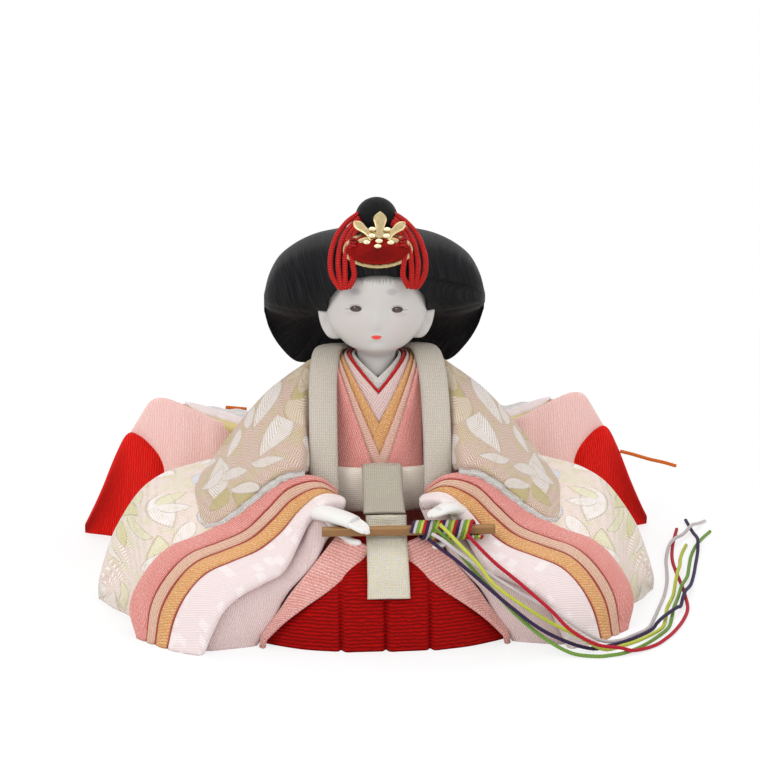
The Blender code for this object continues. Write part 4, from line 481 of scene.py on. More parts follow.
def crepe(name, colour, pale, rib=0.8, along_ribs=True, depth=0.12, waver=1.4, flecks=0.8,
          sheen=0.2, groove_shade=0.72):
    """Silk crepe: wavering ribs with painted shade in the gaps between them, and pale
    threads that come up in flecks on the ribs."""
    material, tree, shader = finish_of(name, 0.85, Sheen_Weight=sheen, Sheen_Roughness=0.5,
                                       Specular_IOR_Level=0.12)
    across, along = lengths_on(tree)
    if not along_ribs:
        across, along = along, across
    waves = grain(tree, across, along, 2.2, 3.4)
    ribs = ridges(tree, across, rib, waves, waver * 4)
    threads = grain(tree, across, along, 0.30, 0.62, 3.0)
    shown = between(tree, threads, 0.40, 0.64)
    clouds = between(tree, grain(tree, across, along, 7.0, 11.0), 0.35, 0.65, 0.75, 1.1)
    share = maths(tree, "MULTIPLY", shown, maths(tree, "MULTIPLY_ADD", ribs, 0.6, 0.4))
    share = maths(tree, "MULTIPLY", maths(tree, "MULTIPLY", share, clouds), flecks)
    # Painted shade: the troughs between the ribs are darkened by the groove shade factor.
    cloth = mixed(tree, ribs, tint(colour, groove_shade), tint(colour))
    dyed(tree, shader, mixed(tree, share, cloth, tint(pale)))
    raised(tree, shader, maths(tree, "MULTIPLY_ADD", threads, 0.6, ribs), depth)
    return material


red_crepe = crepe("red_crepe", SHADED_TROUSER_RED, (0.52, 0.003, 0.002), rib=1.35, depth=0.38, waver=1.7,
                  flecks=0.5, sheen=0.0, groove_shade=0.40)


def knees():
    """The trousers as sections at even X. A row of the profile holds X, the depth of the hem,
    and the depth and height of the knee. A section rises from the hem to the knee along a
    smooth curve and runs level to the back. Each pleat cuts a bell-shaped fold into its
    front, and the cloth laps forward beside the fold."""
    x = np.linspace(-KNEE_REACH, KNEE_REACH, 281)
    table = smooth(KNEE_PROFILE, 400)
    front, top_y, top_z = (np.interp(np.abs(x), table[:, 0], table[:, k]) for k in (1, 2, 3))
    fold = sum(np.exp(-((x - pleat) / PLEAT_HALF_WIDTH) ** 2) for pleat in PLEATS)
    lap = sum(np.exp(-np.abs(x - pleat - LAP_SHIFT) / LAP_FADE) * (x > pleat)
              for pleat in PLEATS)
    front = front + fold * PLEAT_DEPTH - lap * LAP_DEPTH
    run = top_y - front
    knots = [np.stack(np.broadcast_arrays(y, z), 1) for y, z in (
        (front + HEM_TUCK, 0), (front + run / 12, top_z / 3), (front + run / 3, top_z * 0.75),
        (top_y, top_z), ((top_y + KNEE_BACK) / 2, top_z), (KNEE_BACK, top_z))]
    face = smooth(knots, 90)
    grid = np.stack([np.broadcast_to(x, face.shape[:2]), face[..., 0], face[..., 1]], -1)
    foot = grid[-1:].copy()
    foot[..., 2] = 0
    return np.concatenate([grid, foot]).transpose(1, 0, 2)


put("red_trousers", [knees()], red_crepe, "root", ["hakama_front"])

# Layered robes at the wrists. Each robe shows only its padded, rolled hem: coral outermost,
# then a narrow beige one, gold and white, fanned out over the table, with a pale lining.
CORAL_EDGE = ((13.8, -38, 47), (23.5, -41, 56), (36, -42, 57.4), (46, -42, 50),
              (56, -42, 41.5), (67, -43, 35.8), (79, -44, 31), (87.5, -46, 22.2),
              (92.7, -47.5, 10.5), (90, -52, 0))
BEIGE_EDGE = ((13.6, -39.2, 47), (23, -43, 55.2), (33.5, -45, 53.8), (41.7, -47, 46.5),
              (49.9, -48, 38.7), (60, -48, 34), (70.6, -50, 30.3), (78.7, -52, 23),
              (84.3, -54, 12.5), (86, -57, 0))
WHITE_EDGE = ((13.2, -40.4, 47), (22.8, -45, 50.4), (30.9, -48, 44.9), (37.7, -52, 38.5),
              (45.6, -55, 33.2), (54.8, -57, 29.8), (63.9, -58.5, 26.2), (70.7, -60, 19.5),
              (75.6, -62, 11), (78.5, -64.5, 0))
FREE_EDGE = ((10.8, -46, 47.2), (19.4, -48.8, 48), (25.6, -50.8, 44.6), (29.6, -53, 37.2),
             (36.1, -62.3, 28.7), (43.9, -66, 25.2), (51.7, -68, 21.5), (58.3, -70, 16.3),
             (62.5, -71.5, 8.5), (66, -72, 0))
LINING_EDGE = ((15.7, -50, 39), (20.4, -54, 37), (23.3, -57, 32.8), (26.4, -59, 28.4),
               (30.1, -60.5, 24.3), (34, -61.5, 20.3), (37.1, -62, 15.3), (39.5, -62.5, 10),
               (42.6, -63, 5), (46, -63, 0))
BEIGE_SHARE = 0.42
WRIST_START = 0.3
HEM_STATIONS = 90
HEM_SINK = 0.7
HEM_FOLD = 0.12
LINING_SHIFT = (0, 4.4, -1.1)
SIDES = (("left", -1.0), ("right", 1.0))
CORAL, CORAL_THREAD = (0.78, 0.235, 0.205), (0.93, 0.58, 0.52)
PINK, PINK_THREAD = (0.95, 0.56, 0.51), (0.98, 0.80, 0.77)


def hem_line(knots):
    """One edge of the fan of hems, from the wrist to the table."""
    return smooth(knots, HEM_STATIONS, WRIST_START)


def bulge(value, power):
    """The size of a value to a power, with the value's own sign."""
    return np.sign(value) * np.abs(value) ** power


def hem(upper, lower, crown, back, side, around=22, fold=0.0, standing=True):
    """A padded hem between two edge lines. Its section is a rounded slab: at angle a the
    share across is (1 - c) / 2, with c the cosine to the power 0.55, and the sine to the
    power 0.75 times the crown is its swell outwards, or times the back its depth inwards.
    The slab's middle lies a little under the edge lines. A fold adds two slow waves along
    its face, and a standing hem ends on the table."""
    angle = circle(around)
    sine = np.sin(angle)
    across = (1 - bulge(np.cos(angle), 0.55)) / 2
    swell = np.where(sine > 0, crown + HEM_SINK, back - HEM_SINK) * bulge(sine, 0.75)
    width = lower - upper
    out = -unit(np.cross(np.gradient(upper + lower, axis=0), width))
    run = lengths_along(upper + lower)[:, None] / 2
    soft = fold * (np.sin(run / 7) + 0.6 * np.sin(run / 3.1 + across * 4)) * (sine > 0)
    grid = (upper[:, None] + width[:, None] * across[:, None]
            + out[:, None] * (swell - HEM_SINK + soft)[..., None])
    grid[..., 2] = np.maximum(grid[..., 2], 0)
    if standing:
        grid[-1, :, 2] = 0
    return grid * (side, 1, 1)


def piping(seam, lower, side):
    """A thin tube along the seam between two hems, lifted a little off the lower one."""
    out = -unit(np.cross(np.gradient(seam, axis=0), lower - seam))
    turn = circle(10)
    ring = np.stack([np.cos(turn), np.sin(turn)], 1) * PIPING_RADIUS
    tube = sweep(seam + out * PIPING_RISE, ring)
    tube[..., 2] = np.maximum(tube[..., 2], 0)
    return tube * (side, 1, 1)


def satin(name, colour, fleck, dark):
    """Silk twill with a gloss: fine slanting lines and small bright flecks."""
    material, tree, shader = finish_of(name, 0.5, Sheen_Weight=0.2, Metallic=0.1)
    across, along = lengths_on(tree)
    slant = maths(tree, "MULTIPLY_ADD", along, 0.8, across)
    lines = ridges(tree, slant, 0.85, grain(tree, across, along, 2.0, 4.0), 2.5)
    threads = grain(tree, across, along, 0.34, 0.75, 3.0)
    cloth = mixed(tree, lines, tint(dark), tint(colour))
    share = maths(tree, "MULTIPLY", between(tree, threads, 0.50, 0.66),
                  maths(tree, "MULTIPLY_ADD", lines, 0.5, 0.4))
    dyed(tree, shader, mixed(tree, share, cloth, tint(fleck)))
    raised(tree, shader, maths(tree, "MULTIPLY_ADD", threads, 0.5, lines), 0.12)
    return material


def figured_white(name, colour, figure, cell=7.0):
    """White silk with squares woven in, tone on tone. A square is where both distances to the
    middle of a jittered cell are under 0.3 of the cell. The slanting weft lines are brighter
    there and stand up a little."""
    material, tree, shader = finish_of(name, 0.8, Sheen_Weight=0.4, Sheen_Roughness=0.4)
    across, along = lengths_on(tree)
    slant = maths(tree, "MULTIPLY_ADD", across, 0.7, along)
    weave = ridges(tree, slant, 0.95, grain(tree, across, along, 2.0, 3.0), 1.6)
    blocks = step(tree, "TexVoronoi", {"Vector": in_cells(tree, across, along, cell, cell * 0.7),
                                       "Scale": 1.0, "Randomness": 0.55}, distance="CHEBYCHEV")
    inside = between(tree, blocks.outputs["Distance"], 0.34, 0.26)
    share = maths(tree, "MULTIPLY", inside, maths(tree, "MULTIPLY_ADD", weave, 0.6, 0.2))
    cloth = mixed(tree, weave, tint(colour, 0.90), tint(colour, 1.04))
    dyed(tree, shader, mixed(tree, share, cloth, tint(figure)))
    raised(tree, shader, maths(tree, "MULTIPLY_ADD", inside, 0.5, weave), 0.10)
    return material


coral_crepe = crepe("coral_crepe", CORAL, CORAL_THREAD, flecks=0.95)
pink_crepe = crepe("pink_crepe", PINK, PINK_THREAD, rib=1.1, along_ribs=False, waver=2.2,
                   flecks=0.9, groove_shade=0.86)
beige_rib = crepe("beige_rib", (0.72, 0.40, 0.27), (0.90, 0.70, 0.58), rib=0.9, waver=0.6,
                  flecks=0.9)
gold_satin = satin("gold_satin", (0.70, 0.34, 0.11), (0.93, 0.70, 0.42), (0.55, 0.235, 0.065))
white_silk = figured_white("white_silk", (0.86, 0.73, 0.72), (0.95, 0.89, 0.88))
lining_silk = crepe("lining_silk", (0.80, 0.59, 0.57), (0.93, 0.84, 0.83), rib=0.9,
                    along_ribs=False, waver=1.0)
piping_silk = crepe("piping_silk", (0.42, 0.045, 0.035), (0.62, 0.16, 0.12), rib=0.5)

coral_line, beige_line, white_line, free_line, lining_line = (
    hem_line(edge) for edge in (CORAL_EDGE, BEIGE_EDGE, WHITE_EDGE, FREE_EDGE, LINING_EDGE))
strip_line = beige_line + (white_line - beige_line) * BEIGE_SHARE
HEMS = (("coral_hem", coral_line, beige_line, 1.1, 3.0, coral_crepe, "coral_sleeve", "coral"),
        ("beige_hem", beige_line, strip_line, 1.1, 3.0, beige_rib, "beige_sleeve", "beige"),
        ("gold_hem", strip_line, white_line, 1.1, 3.0, gold_satin, "gold_sleeve", "gold"),
        ("white_hem", white_line, free_line, 1.9, 3.0, white_silk, "white_sleeve", "white"),
        ("lining", free_line + LINING_SHIFT, lining_line, 1.1, 1.1, lining_silk,
         "lining_sleeve", "lining"))
SEAMS = (("coral", beige_line, strip_line), ("beige", strip_line, white_line),
         ("gold", white_line, free_line))
PIPING_RADIUS = 0.42
PIPING_RISE = 0.25
for label, side in SIDES:
    for name, upper, lower, crown, back, stuff, node, slot in HEMS:
        put(name + "_" + label, [hem(upper, lower, crown, back, side, fold=HEM_FOLD)], stuff,
            "root", [node + "_" + label])
    for name, seam, lower in SEAMS:
        put("piping_" + name + "_" + label, [piping(seam, lower, side)], piping_silk, "root",
            [])

# Front panels of the coral robe: ribbed crepe with a thin padding. They come out from under
# the sash, part over the trousers and end on the table.
PANEL_INNER = ((4, -57, 34), (9, -60, 29.5), (19, -64, 21.5), (29, -66, 15), (37, -66.5, 9),
               (43.5, -66, 2.5))
PANEL_OUTER = ((16.5, -53, 38.5), (21.5, -56.5, 33.2), (28, -60, 26), (33.5, -61.5, 19.5),
               (38, -62.5, 12.5), (45, -64, 3))
PANEL_CROWN, PANEL_BACK, PANEL_STATIONS = 1.0, 1.3, 60
panel_crepe = crepe("panel_crepe", (0.80, 0.29, 0.25), (0.97, 0.74, 0.68), rib=1.25,
                    along_ribs=False, depth=0.25, waver=1.5, flecks=1.0)
panel_edges = smooth(PANEL_INNER, PANEL_STATIONS), smooth(PANEL_OUTER, PANEL_STATIONS)
for label, side in SIDES:
    put("front_panel_" + label, [hem(*panel_edges, PANEL_CROWN, PANEL_BACK, side)],
        panel_crepe, "root", ["skirt_panel_" + label])

# Outer robe: two stuffed brocade sleeves that spread over the table, the pink robes and the
# red trouser corners behind them. All are sewn shut over their stuffing.
ROBE_SECTIONS = (
    (31.5, -54, 0, -42, 54, -5, 50, 30, 38, 41, 0),
    (42, -57, 0, -42.5, 51, 0, 49.5, 32, 37, 41.5, 0),
    (54, -58, 0, -43, 42, 5, 48.5, 34, 36, 42, 0),
    (66, -56, 0, -43.5, 35, 9, 46.5, 35, 35, 42, 0),
    (78, -50, 0, -44, 30.5, 8, 42.5, 34, 33, 41, 0),
    (87, -44, 0, -43, 24, 5, 39, 30, 28, 38, 0),
    (94, -29, 0, -32, 14, 1, 32, 24, 22, 33, 0),
    (100, -21, 0, -24, 10, -3, 23.5, 15, 15, 25, 0),
    (104, -13, 0, -16, 6, -6, 13, 5, 9, 12, 0),
    (106, -10, 0, -11, 4, -8, 6, -4, 4, -5, 0))
TAIL_SECTIONS = (
    (0, 31, 0, 36, 40, 48, 47, 70, 46, 84, 28, 92, 0),
    (16, 31, 0, 36, 40, 48, 47, 70, 46.5, 84, 28, 92, 0),
    (31, 42.5, 0, 44, 40, 52, 48, 70, 47, 84, 28, 92, 0),
    (45, 42.5, 0, 45, 42, 53, 49.5, 70, 48, 84, 29, 91.5, 0),
    (59.5, 43, 0, 44, 49, 53, 51, 70, 49, 84, 30, 91, 0),
    (67.4, 43.5, 0, 47, 52, 56, 53, 70, 50.5, 82, 31, 89, 0),
    (75, 44, 0, 50, 54.5, 60, 55, 70, 51, 80, 32, 87, 0),
    (81.5, 45, 0, 54, 56, 61, 56, 70, 50, 78, 32, 84, 0),
    (87, 47, 0, 57, 54.5, 62, 54, 69, 46, 76, 28, 81, 0),
    (92.5, 52, 0, 60, 46, 64, 47, 69, 40, 73, 25, 77, 0),
    (97, 60, 0, 62, 38, 65, 41, 68, 36, 70, 22, 73, 0))
CORNER_SECTIONS = (
    (80, 50, 0, 50, 31, 60, 31, 64, 0), (86, 52, 0, 50, 36, 62, 36, 68, 0),
    (92, 56, 0, 54, 39.5, 66, 39, 72, 0), (97, 60, 0, 58, 40, 69, 38, 74, 0),
    (102, 64, 0, 61, 31.5, 71, 30, 76, 0), (108, 67, 0, 64, 18, 73, 17, 77, 0),
    (113, 69, 0, 67, 7.5, 74, 7.5, 77, 0), (115.5, 70.5, 0, 70, 3, 73, 3, 75.5, 0))


SPAN_STEPS = 40
THREAD_GOLD = (0.52, 0.40, 0.10, 1)
LEAF_RIM = (0.46, 0.34, 0.18, 1)
LEAF_LAYERS = ((1.0, 0.62, 0.27, 0.3), (0.62, 0.55, 0.24, 7.7))


def closed_curve(knots):
    """A closed smooth curve through a ring of knots, with even steps from each to the next."""
    ring = np.concatenate([knots[-1:], knots, knots[:2]])
    return smooth(ring, (len(ring) - 1) * SPAN_STEPS + 1)[SPAN_STEPS:-SPAN_STEPS - 1]


def stuffed(table, side, stations=120, around=70, standing=True, soft=0.0):
    """A stuffed robe through a table of sections. A row holds X and then the depths and
    heights of the section's points, which a smooth curve joins. A standing robe's curve is
    open and lies on the table between its ends. Soft folds are two slow waves along X,
    strongest at half height."""
    rows = smooth(table, stations)
    knots = rows[:, 1:].reshape(stations, -1, 2).transpose(1, 0, 2)
    if standing:
        ring = smooth(knots, around)
    else:
        curve = closed_curve(knots)
        ring = curve[::max(len(curve) // around, 1)]
    ring = ring.transpose(1, 0, 2)
    x = np.broadcast_to(rows[:, :1], ring.shape[:2])
    bell = np.clip(ring[..., 1] / max(ring[..., 1].max(), 1), 0, 1)
    fold = soft * np.sin(np.pi * bell) * (np.sin(x / 5.5 + ring[..., 1] / 9)
                                          + 0.5 * np.sin(x / 2.7 - ring[..., 0] / 8))
    return np.stack([x * side, ring[..., 0] + fold, np.maximum(ring[..., 1] + fold / 2, 0)], -1)


def figures(tree, across, along, cell, half_length, half_width, start):
    """One layer of scattered leaves. Each cell of a jittered grid holds one: with x along a
    direction of its own and y across its bent middle line, it covers the points where
    |y| / half_width + (x / half_length) squared, made ragged by noise, is under 1.1. Gives
    the leaf, its barbs, that sum and three numbers by chance."""
    place = step(tree, "CombineXYZ", {0: maths(tree, "MULTIPLY_ADD", across, 1 / cell, start),
                                      1: maths(tree, "DIVIDE", along, cell)}).outputs[0]
    cells = step(tree, "TexVoronoi", {"Vector": place, "Scale": 1.0, "Randomness": 0.75},
                 voronoi_dimensions="2D")
    chance = step(tree, "SeparateXYZ", {0: cells.outputs["Color"]}).outputs
    middle = step(tree, "VectorMath", {0: place, 1: cells.outputs["Position"]},
                  operation="SUBTRACT").outputs[0]
    turned = step(tree, "VectorRotate", {"Vector": middle, "Angle": maths(
        tree, "MULTIPLY", chance[0], 2 * math.pi)}, rotation_type="Z_AXIS").outputs[0]
    xy = step(tree, "SeparateXYZ", {0: turned}).outputs
    bent = maths(tree, "MULTIPLY_ADD", maths(tree, "MULTIPLY", xy[0], xy[0]), 0.35, xy[1])
    wide = maths(tree, "ABSOLUTE", bent)
    shape = maths(tree, "ADD", maths(tree, "DIVIDE", wide, half_width), maths(
        tree, "POWER", maths(tree, "DIVIDE", maths(tree, "ABSOLUTE", xy[0]), half_length), 2.0))
    ragged = maths(tree, "MULTIPLY_ADD", grain(tree, across, along, 0.6, 0.6), 0.30, shape)
    barbs = ridges(tree, maths(tree, "ADD", xy[0], maths(tree, "MULTIPLY", wide, 1.6)), 0.085)
    return between(tree, ragged, 1.17, 1.10), barbs, ragged, chance


def brocade(name, ground, thread, palette, cell):
    """Woven brocade: a herringbone ground of two threads, with two layers of leaves in floss
    silk on it, lime patches, and gold thread that glints here and there."""
    material, tree, shader = finish_of(name, 0.7, Sheen_Weight=0.15, Sheen_Roughness=0.5)
    across, along = lengths_on(tree)
    zigzag = maths(tree, "PINGPONG", along, 1.9)
    weave = ridges(tree, maths(tree, "ADD", across, zigzag), 1.05,
                   grain(tree, across, along, 1.5, 2.5), 2.0)
    threads = grain(tree, across, along, 0.30, 0.45, 3.0)
    share = step(tree, "Clamp", {0: maths(tree, "MULTIPLY_ADD", threads, 1.6, maths(
        tree, "MULTIPLY_ADD", weave, 1.15, -0.95))}).outputs[0]
    colour = mixed(tree, share, tint(ground), tint(thread))
    patch = between(tree, grain(tree, across, along, 9.0, 13.0, 1.0), 0.52, 0.58)
    lime = mixed(tree, weave, tint(palette[1], 0.85), tint(palette[1], 1.1))
    colour = mixed(tree, maths(tree, "MULTIPLY", patch, 0.30), colour, lime)
    tall = maths(tree, "MULTIPLY", weave, 0.5)
    for size, half_length, half_width, start in LEAF_LAYERS:
        leaf, barbs, ragged, chance = figures(tree, across, along, cell * size, half_length,
                                              half_width, start)
        shown = maths(tree, "MULTIPLY", leaf, maths(tree, "GREATER_THAN", chance[2], 0.36))
        fill = step(tree, "ValToRGB", {0: chance[1]})
        ramp = fill.color_ramp
        ramp.interpolation = "CONSTANT"
        ramp.elements[0].color = tint(palette[0])
        ramp.elements[1].position = 1 / len(palette)
        ramp.elements[1].color = tint(palette[1])
        for index, floss_colour in enumerate(palette[2:], 2):
            ramp.elements.new(index / len(palette)).color = tint(floss_colour)
        silk = mixed(tree, maths(tree, "MULTIPLY", barbs, 0.62), fill.outputs[0], tint(ground, 1.05))
        rim = maths(tree, "MULTIPLY", between(tree, ragged, 0.98, 1.04), 0.55)
        silk = mixed(tree, rim, silk, LEAF_RIM)
        colour = mixed(tree, shown, colour, silk)
        tall = maths(tree, "MULTIPLY_ADD", shown, 0.7, maths(tree, "MULTIPLY_ADD", maths(
            tree, "MULTIPLY", barbs, shown), 0.3, tall))
    glint = between(tree, grain(tree, across, along, 0.34, 0.34), 0.57, 0.63)
    trail = between(tree, grain(tree, across, along, 6.0, 4.0, 1.0), 0.50, 0.62)
    gold = maths(tree, "MULTIPLY", glint, trail)
    dyed(tree, shader, mixed(tree, gold, colour, THREAD_GOLD))
    tree.links.new(maths(tree, "MULTIPLY", gold, 0.7), shader.inputs["Metallic"])
    raised(tree, shader, maths(tree, "MULTIPLY_ADD", threads, 0.4, tall), 0.20)
    return material


outer_brocade = brocade("outer_brocade", (0.70, 0.50, 0.43), (0.94, 0.89, 0.83),
                        ((0.92, 0.91, 0.88), (0.66, 0.70, 0.36), (0.93, 0.92, 0.90),
                         (0.80, 0.82, 0.56), (0.66, 0.76, 0.88), (0.90, 0.89, 0.84)), 24.0)
jacket_brocade = brocade("jacket_brocade", (0.44, 0.25, 0.19), (0.78, 0.66, 0.56),
                         ((0.84, 0.83, 0.80), (0.52, 0.48, 0.20), (0.82, 0.80, 0.76),
                          (0.72, 0.64, 0.48)), 22.0)
# Painted light: the trouser corners take a brighter copy of the trousers' red crepe, for the light
# that falls on them.
lit_corner_crepe = crepe("lit_corner_crepe", (0.96, 0.010, 0.006), (0.99, 0.040, 0.025), rib=1.2,
                     along_ribs=False, depth=0.35, waver=1.7, flecks=0.5, sheen=0.0, groove_shade=0.55)
for label, side in SIDES:
    put("outer_sleeve_" + label, [stuffed(ROBE_SECTIONS, side, soft=0.5)], outer_brocade,
        "root", ["robe_sleeve_" + label])
    put("pink_robe_" + label, [stuffed(TAIL_SECTIONS, side, soft=0.4)], pink_crepe, "root",
        ["robe_tail_" + label])
    put("red_corner_" + label, [stuffed(CORNER_SECTIONS, side, 70, 60)], lit_corner_crepe, "root",
        ["hakama_corner_" + label])

# Two cloth ends a side, white over yellow, that come out from under the train and lie on the
# pink robe.
WHITE_END = ((49, 50.5, 52.4), (57, 55, 54.2), (65, 58.5, 55.8), (73.5, 61.5, 57))
YELLOW_END = ((50, 45.5, 51), (58.5, 49.5, 52.4), (66.5, 52.5, 54.2), (73.5, 58.5, 56.4))
LOW_END = ((51, 42.8, 49.4), (59.5, 45.6, 51), (67.5, 49.4, 53.3), (72, 57.4, 56))
CLOTH_END_SWELL, CLOTH_END_FOLD, CLOTH_END_STATIONS = 1.2, 0.25, 40
yellow_silk = crepe("yellow_silk", (0.78, 0.62, 0.22), (0.94, 0.86, 0.52), rib=0.7)
CLOTH_ENDS = (("white", WHITE_END, YELLOW_END, white_silk, "white"),
              ("yellow", YELLOW_END, LOW_END, yellow_silk, "gold"))
for label, side in SIDES:
    for name, upper, lower, stuff, slot in CLOTH_ENDS:
        edges = smooth(upper, CLOTH_END_STATIONS), smooth(lower, CLOTH_END_STATIONS)
        cloth_end = hem(*edges, CLOTH_END_SWELL, CLOTH_END_SWELL, side, fold=CLOTH_END_FOLD,
                        standing=False)
        put(name + "_cloth_end_" + label, [cloth_end], stuff, "root", [])

# White train: a pleated apron of stiff silk, tied on behind, that spreads over the robes. Its
# pleats are pressed in at the waist and open out towards the hem.
TRAIN_ROWS = ((15.6, 60, 60, 20), (28, 55.5, 56, 26), (40, 51, 52, 36), (52, 49, 52.5, 52),
              (64, 48, 53.5, 66), (73, 46.5, 52, 77), (80, 38, 40, 79), (87, 24, 25, 80),
              (93, 8, 9, 81), (96, 1.2, 1.2, 81))
TRAIN_PLEATS = 14
TRAIN_PLEAT_HEIGHT = 1.4
TRAIN_THICKNESS = 1.4
TRAIN_SPREAD = 60
TRAIN_LOWEST = 1.0


def slab(sheet, thick, power=6.0):
    """A sheet with a body: its points move half the thickness along the sheet's normal and
    against it, and the two faces meet in round edges at the first and last columns."""
    down, over = np.gradient(sheet, axis=0), np.gradient(sheet, axis=1)
    normal = np.cross(down, over)
    normal /= np.maximum(np.linalg.norm(normal, axis=-1, keepdims=True), 1e-9)
    place = np.linspace(-1, 1, sheet.shape[1])
    half = thick / 2 * np.sqrt(np.maximum(1 - np.abs(place) ** power, 0.003))[:, None]
    return np.concatenate([sheet + normal * half, (sheet - normal * half)[:, ::-1]], 1)


def train():
    """Rows from the waist to the back hem: each has its depth, the heights of its middle and
    its edges, and its half width. Height runs from the middle's to the edge's with the
    square of the share across, and the pleats are pointed waves that grow with the row."""
    rows = smooth(TRAIN_ROWS, 90)
    share = np.linspace(-1, 1, 181)
    y, middle, edge, half = rows.T[:, :, None]
    z = middle + (edge - middle) * share ** 2
    pleats = (np.abs(((share * TRAIN_PLEATS) % 2) - 1) * TRAIN_PLEAT_HEIGHT
              - TRAIN_PLEAT_HEIGHT / 2)
    z = np.maximum(z + pleats * np.minimum(half / TRAIN_SPREAD, 1), TRAIN_LOWEST)
    return np.stack([share * half, np.broadcast_to(y, z.shape), z], -1)


train_silk = crepe("train_silk", (0.90, 0.85, 0.82), (0.97, 0.96, 0.94), rib=0.9, groove_shade=0.9)
train_piece = put("pleated_train", [slab(train(), TRAIN_THICKNESS)], train_silk, "root",
                  ["train_skirt"])

# Jacket of a like brocade on a browner ground: a padded back and two short wide sleeves over
# the arms. The sleeves have a peach lining in their mouths and a rolled white hem.
JACKET_SECTIONS = (
    (20.5, -20, 50, -19, 66, -3, 91.5, 8, 81, 14, 46),
    (25.3, -29, 55, -24, 71, -3.4, 90, 8, 79, 14, 46),
    (28.5, -41.5, 59, -30, 71.5, -3, 87.8, 8.5, 76, 14, 46),
    (34, -43.5, 59, -32, 69, -1, 83.5, 9, 72, 14, 45),
    (41, -43, 55, -32, 65, -1, 78, 9.5, 66, 14, 44),
    (48, -42.5, 49, -31, 59.5, -2, 71, 10, 60, 13.5, 44),
    (54, -42, 44, -30, 53.5, -4, 64, 10, 54, 13, 44),
    (60, -41, 40, -29, 48.5, -5, 56, 8, 50, 11, 43),
    (66, -36, 37.5, -26, 43, -8, 48, 4, 45.5, 7, 42),
    (71, -29, 34.5, -23, 38, -13, 40.5, -4, 40.5, -1, 39))
MOUTH_SECTIONS = ((63, -37, 36.6, -27, 43.5, -9, 48, 2, 45.5, 5, 42),
                  (69, -31, 33.8, -24, 39, -13, 42.5, -5, 41, -2, 39),
                  (73.5, -26.5, 32.6, -22, 35.5, -15, 37.5, -9, 37, -7, 36))
SLEEVE_HEM = ((28.5, -41.8, 58.2), (34, -43.6, 58.2), (41, -43.6, 54.2), (48, -43.1, 48.2),
              (54, -42.6, 43.2), (60, -41.4, 39.2), (66, -36.6, 36.5), (71, -29.6, 33.4),
              (72.5, -25, 33.6))
HEM_RADIUS = 1.5
BACK_FRONT, BACK_SQUARENESS = -5.0, 4
BACK_LEVELS = ((46.0, 20.5, 15), (55.8, 20.5, 15), (66.4, 20.5, 14.5), (76.1, 20.5, 13.5),
               (83.2, 19.7, 10.8), (88.5, 14.3, 7.8))


def level_rings(table, front, power, around=72):
    """Level rings through a table of height, half width and back. A ring is the curve whose
    X is the half width times the cosine to the power 2 / power, and whose depth follows the
    sine in the same way between the front and the back."""
    turn = circle(around)
    z, wide, back = smooth(table, 60).T[:, :, None]
    x = wide * bulge(np.cos(turn), 2 / power)
    y = (back + front) / 2 + (back - front) / 2 * bulge(np.sin(turn), 2 / power)
    return np.stack([x, y, np.broadcast_to(z, x.shape)], -1)


def tufted(path, radius, around=20):
    """A rolled hem: a tube round a path, whose radius swells and shrinks a little along it
    with the sum of two waves."""
    run = lengths_along(path)[:, None]
    turn = circle(around)
    swell = radius * (1 + 0.10 * np.sin(run / 1.3 + 2 * turn) + 0.08 * np.sin(run / 0.6 - turn))
    return sweep(path, np.stack([swell * np.cos(turn), swell * np.sin(turn)], -1))


peach_silk = crepe("peach_silk", (0.84, 0.42, 0.24), (0.93, 0.62, 0.46), rib=0.6)
hem_tufts = crepe("hem_tufts", (0.88, 0.83, 0.79), (0.98, 0.97, 0.95), rib=0.6, depth=0.35,
                  waver=3.0, flecks=1.0)
put("padded_back", [level_rings(BACK_LEVELS, BACK_FRONT, BACK_SQUARENESS)], jacket_brocade,
    "root", ["jacket_back"])
hem_path = even(smooth(SLEEVE_HEM, 200), 0.4)
for label, side in SIDES:
    put("short_sleeve_" + label, [stuffed(JACKET_SECTIONS, side, standing=False, soft=0.35)],
        jacket_brocade, "root", ["jacket_sleeve_" + label])
    put("sleeve_mouth_" + label, [stuffed(MOUTH_SECTIONS, side, 40, standing=False)],
        peach_silk, "root", [])
    put("sleeve_hem_" + label, [tufted(hem_path, HEM_RADIUS) * (side, 1, 1)], hem_tufts,
        "root", [])

# Collars of the six robes, from the skin outwards: each is a folded band that crosses at
# the chest, the right-hand one on top, and closes in a loop round the nape.
NECK_Y = -3.0
NECKLINE = 93.5
NECK_RADIUS = 8.4
COLLAR_PITCH = 1.5
COLLAR_THICKNESS = 1.0
COLLAR_HEM = 45.0
COLLAR_ROWS, COLLAR_COLUMNS, NAPE_ROWS = 70, 12, 23
CROSSING_LIFT, CROSSING_FADE, BELOW_POINT = 0.45, 2.2, -0.8
CHEST_SLOPE, SHOULDER_SLOPE, NAPE_SLOPE, NAPE_DEPTH = 0.27, 0.5, 0.2, 1.15
NAPE_BAND = 4.2
red_edge = crepe("red_edge", (0.58, 0.010, 0.012), (0.74, 0.05, 0.04), rib=0.6)
silver_edge = crepe("silver_edge", (0.66, 0.62, 0.57), (0.90, 0.88, 0.85), rib=0.6, flecks=1.0)
blush_silk = crepe("blush_silk", (0.76, 0.52, 0.48), (0.92, 0.78, 0.76), rib=0.9)
rose_silk = crepe("rose_silk", (0.76, 0.42, 0.33), (0.91, 0.70, 0.60), rib=0.85,
                  along_ribs=False)
COLLARS = (("white", 86.4, 3.7, silver_edge, "paper"), ("red", 82.3, 3.2, red_edge, "red"),
           ("blush", 81.1, 7.8, blush_silk, "blush"), ("gold", 71.2, 7.0, gold_satin, "gold"),
           ("rose", 60.4, 5.0, rose_silk, "rose"), ("coral", 50.0, 18.0, coral_crepe, "coral"))


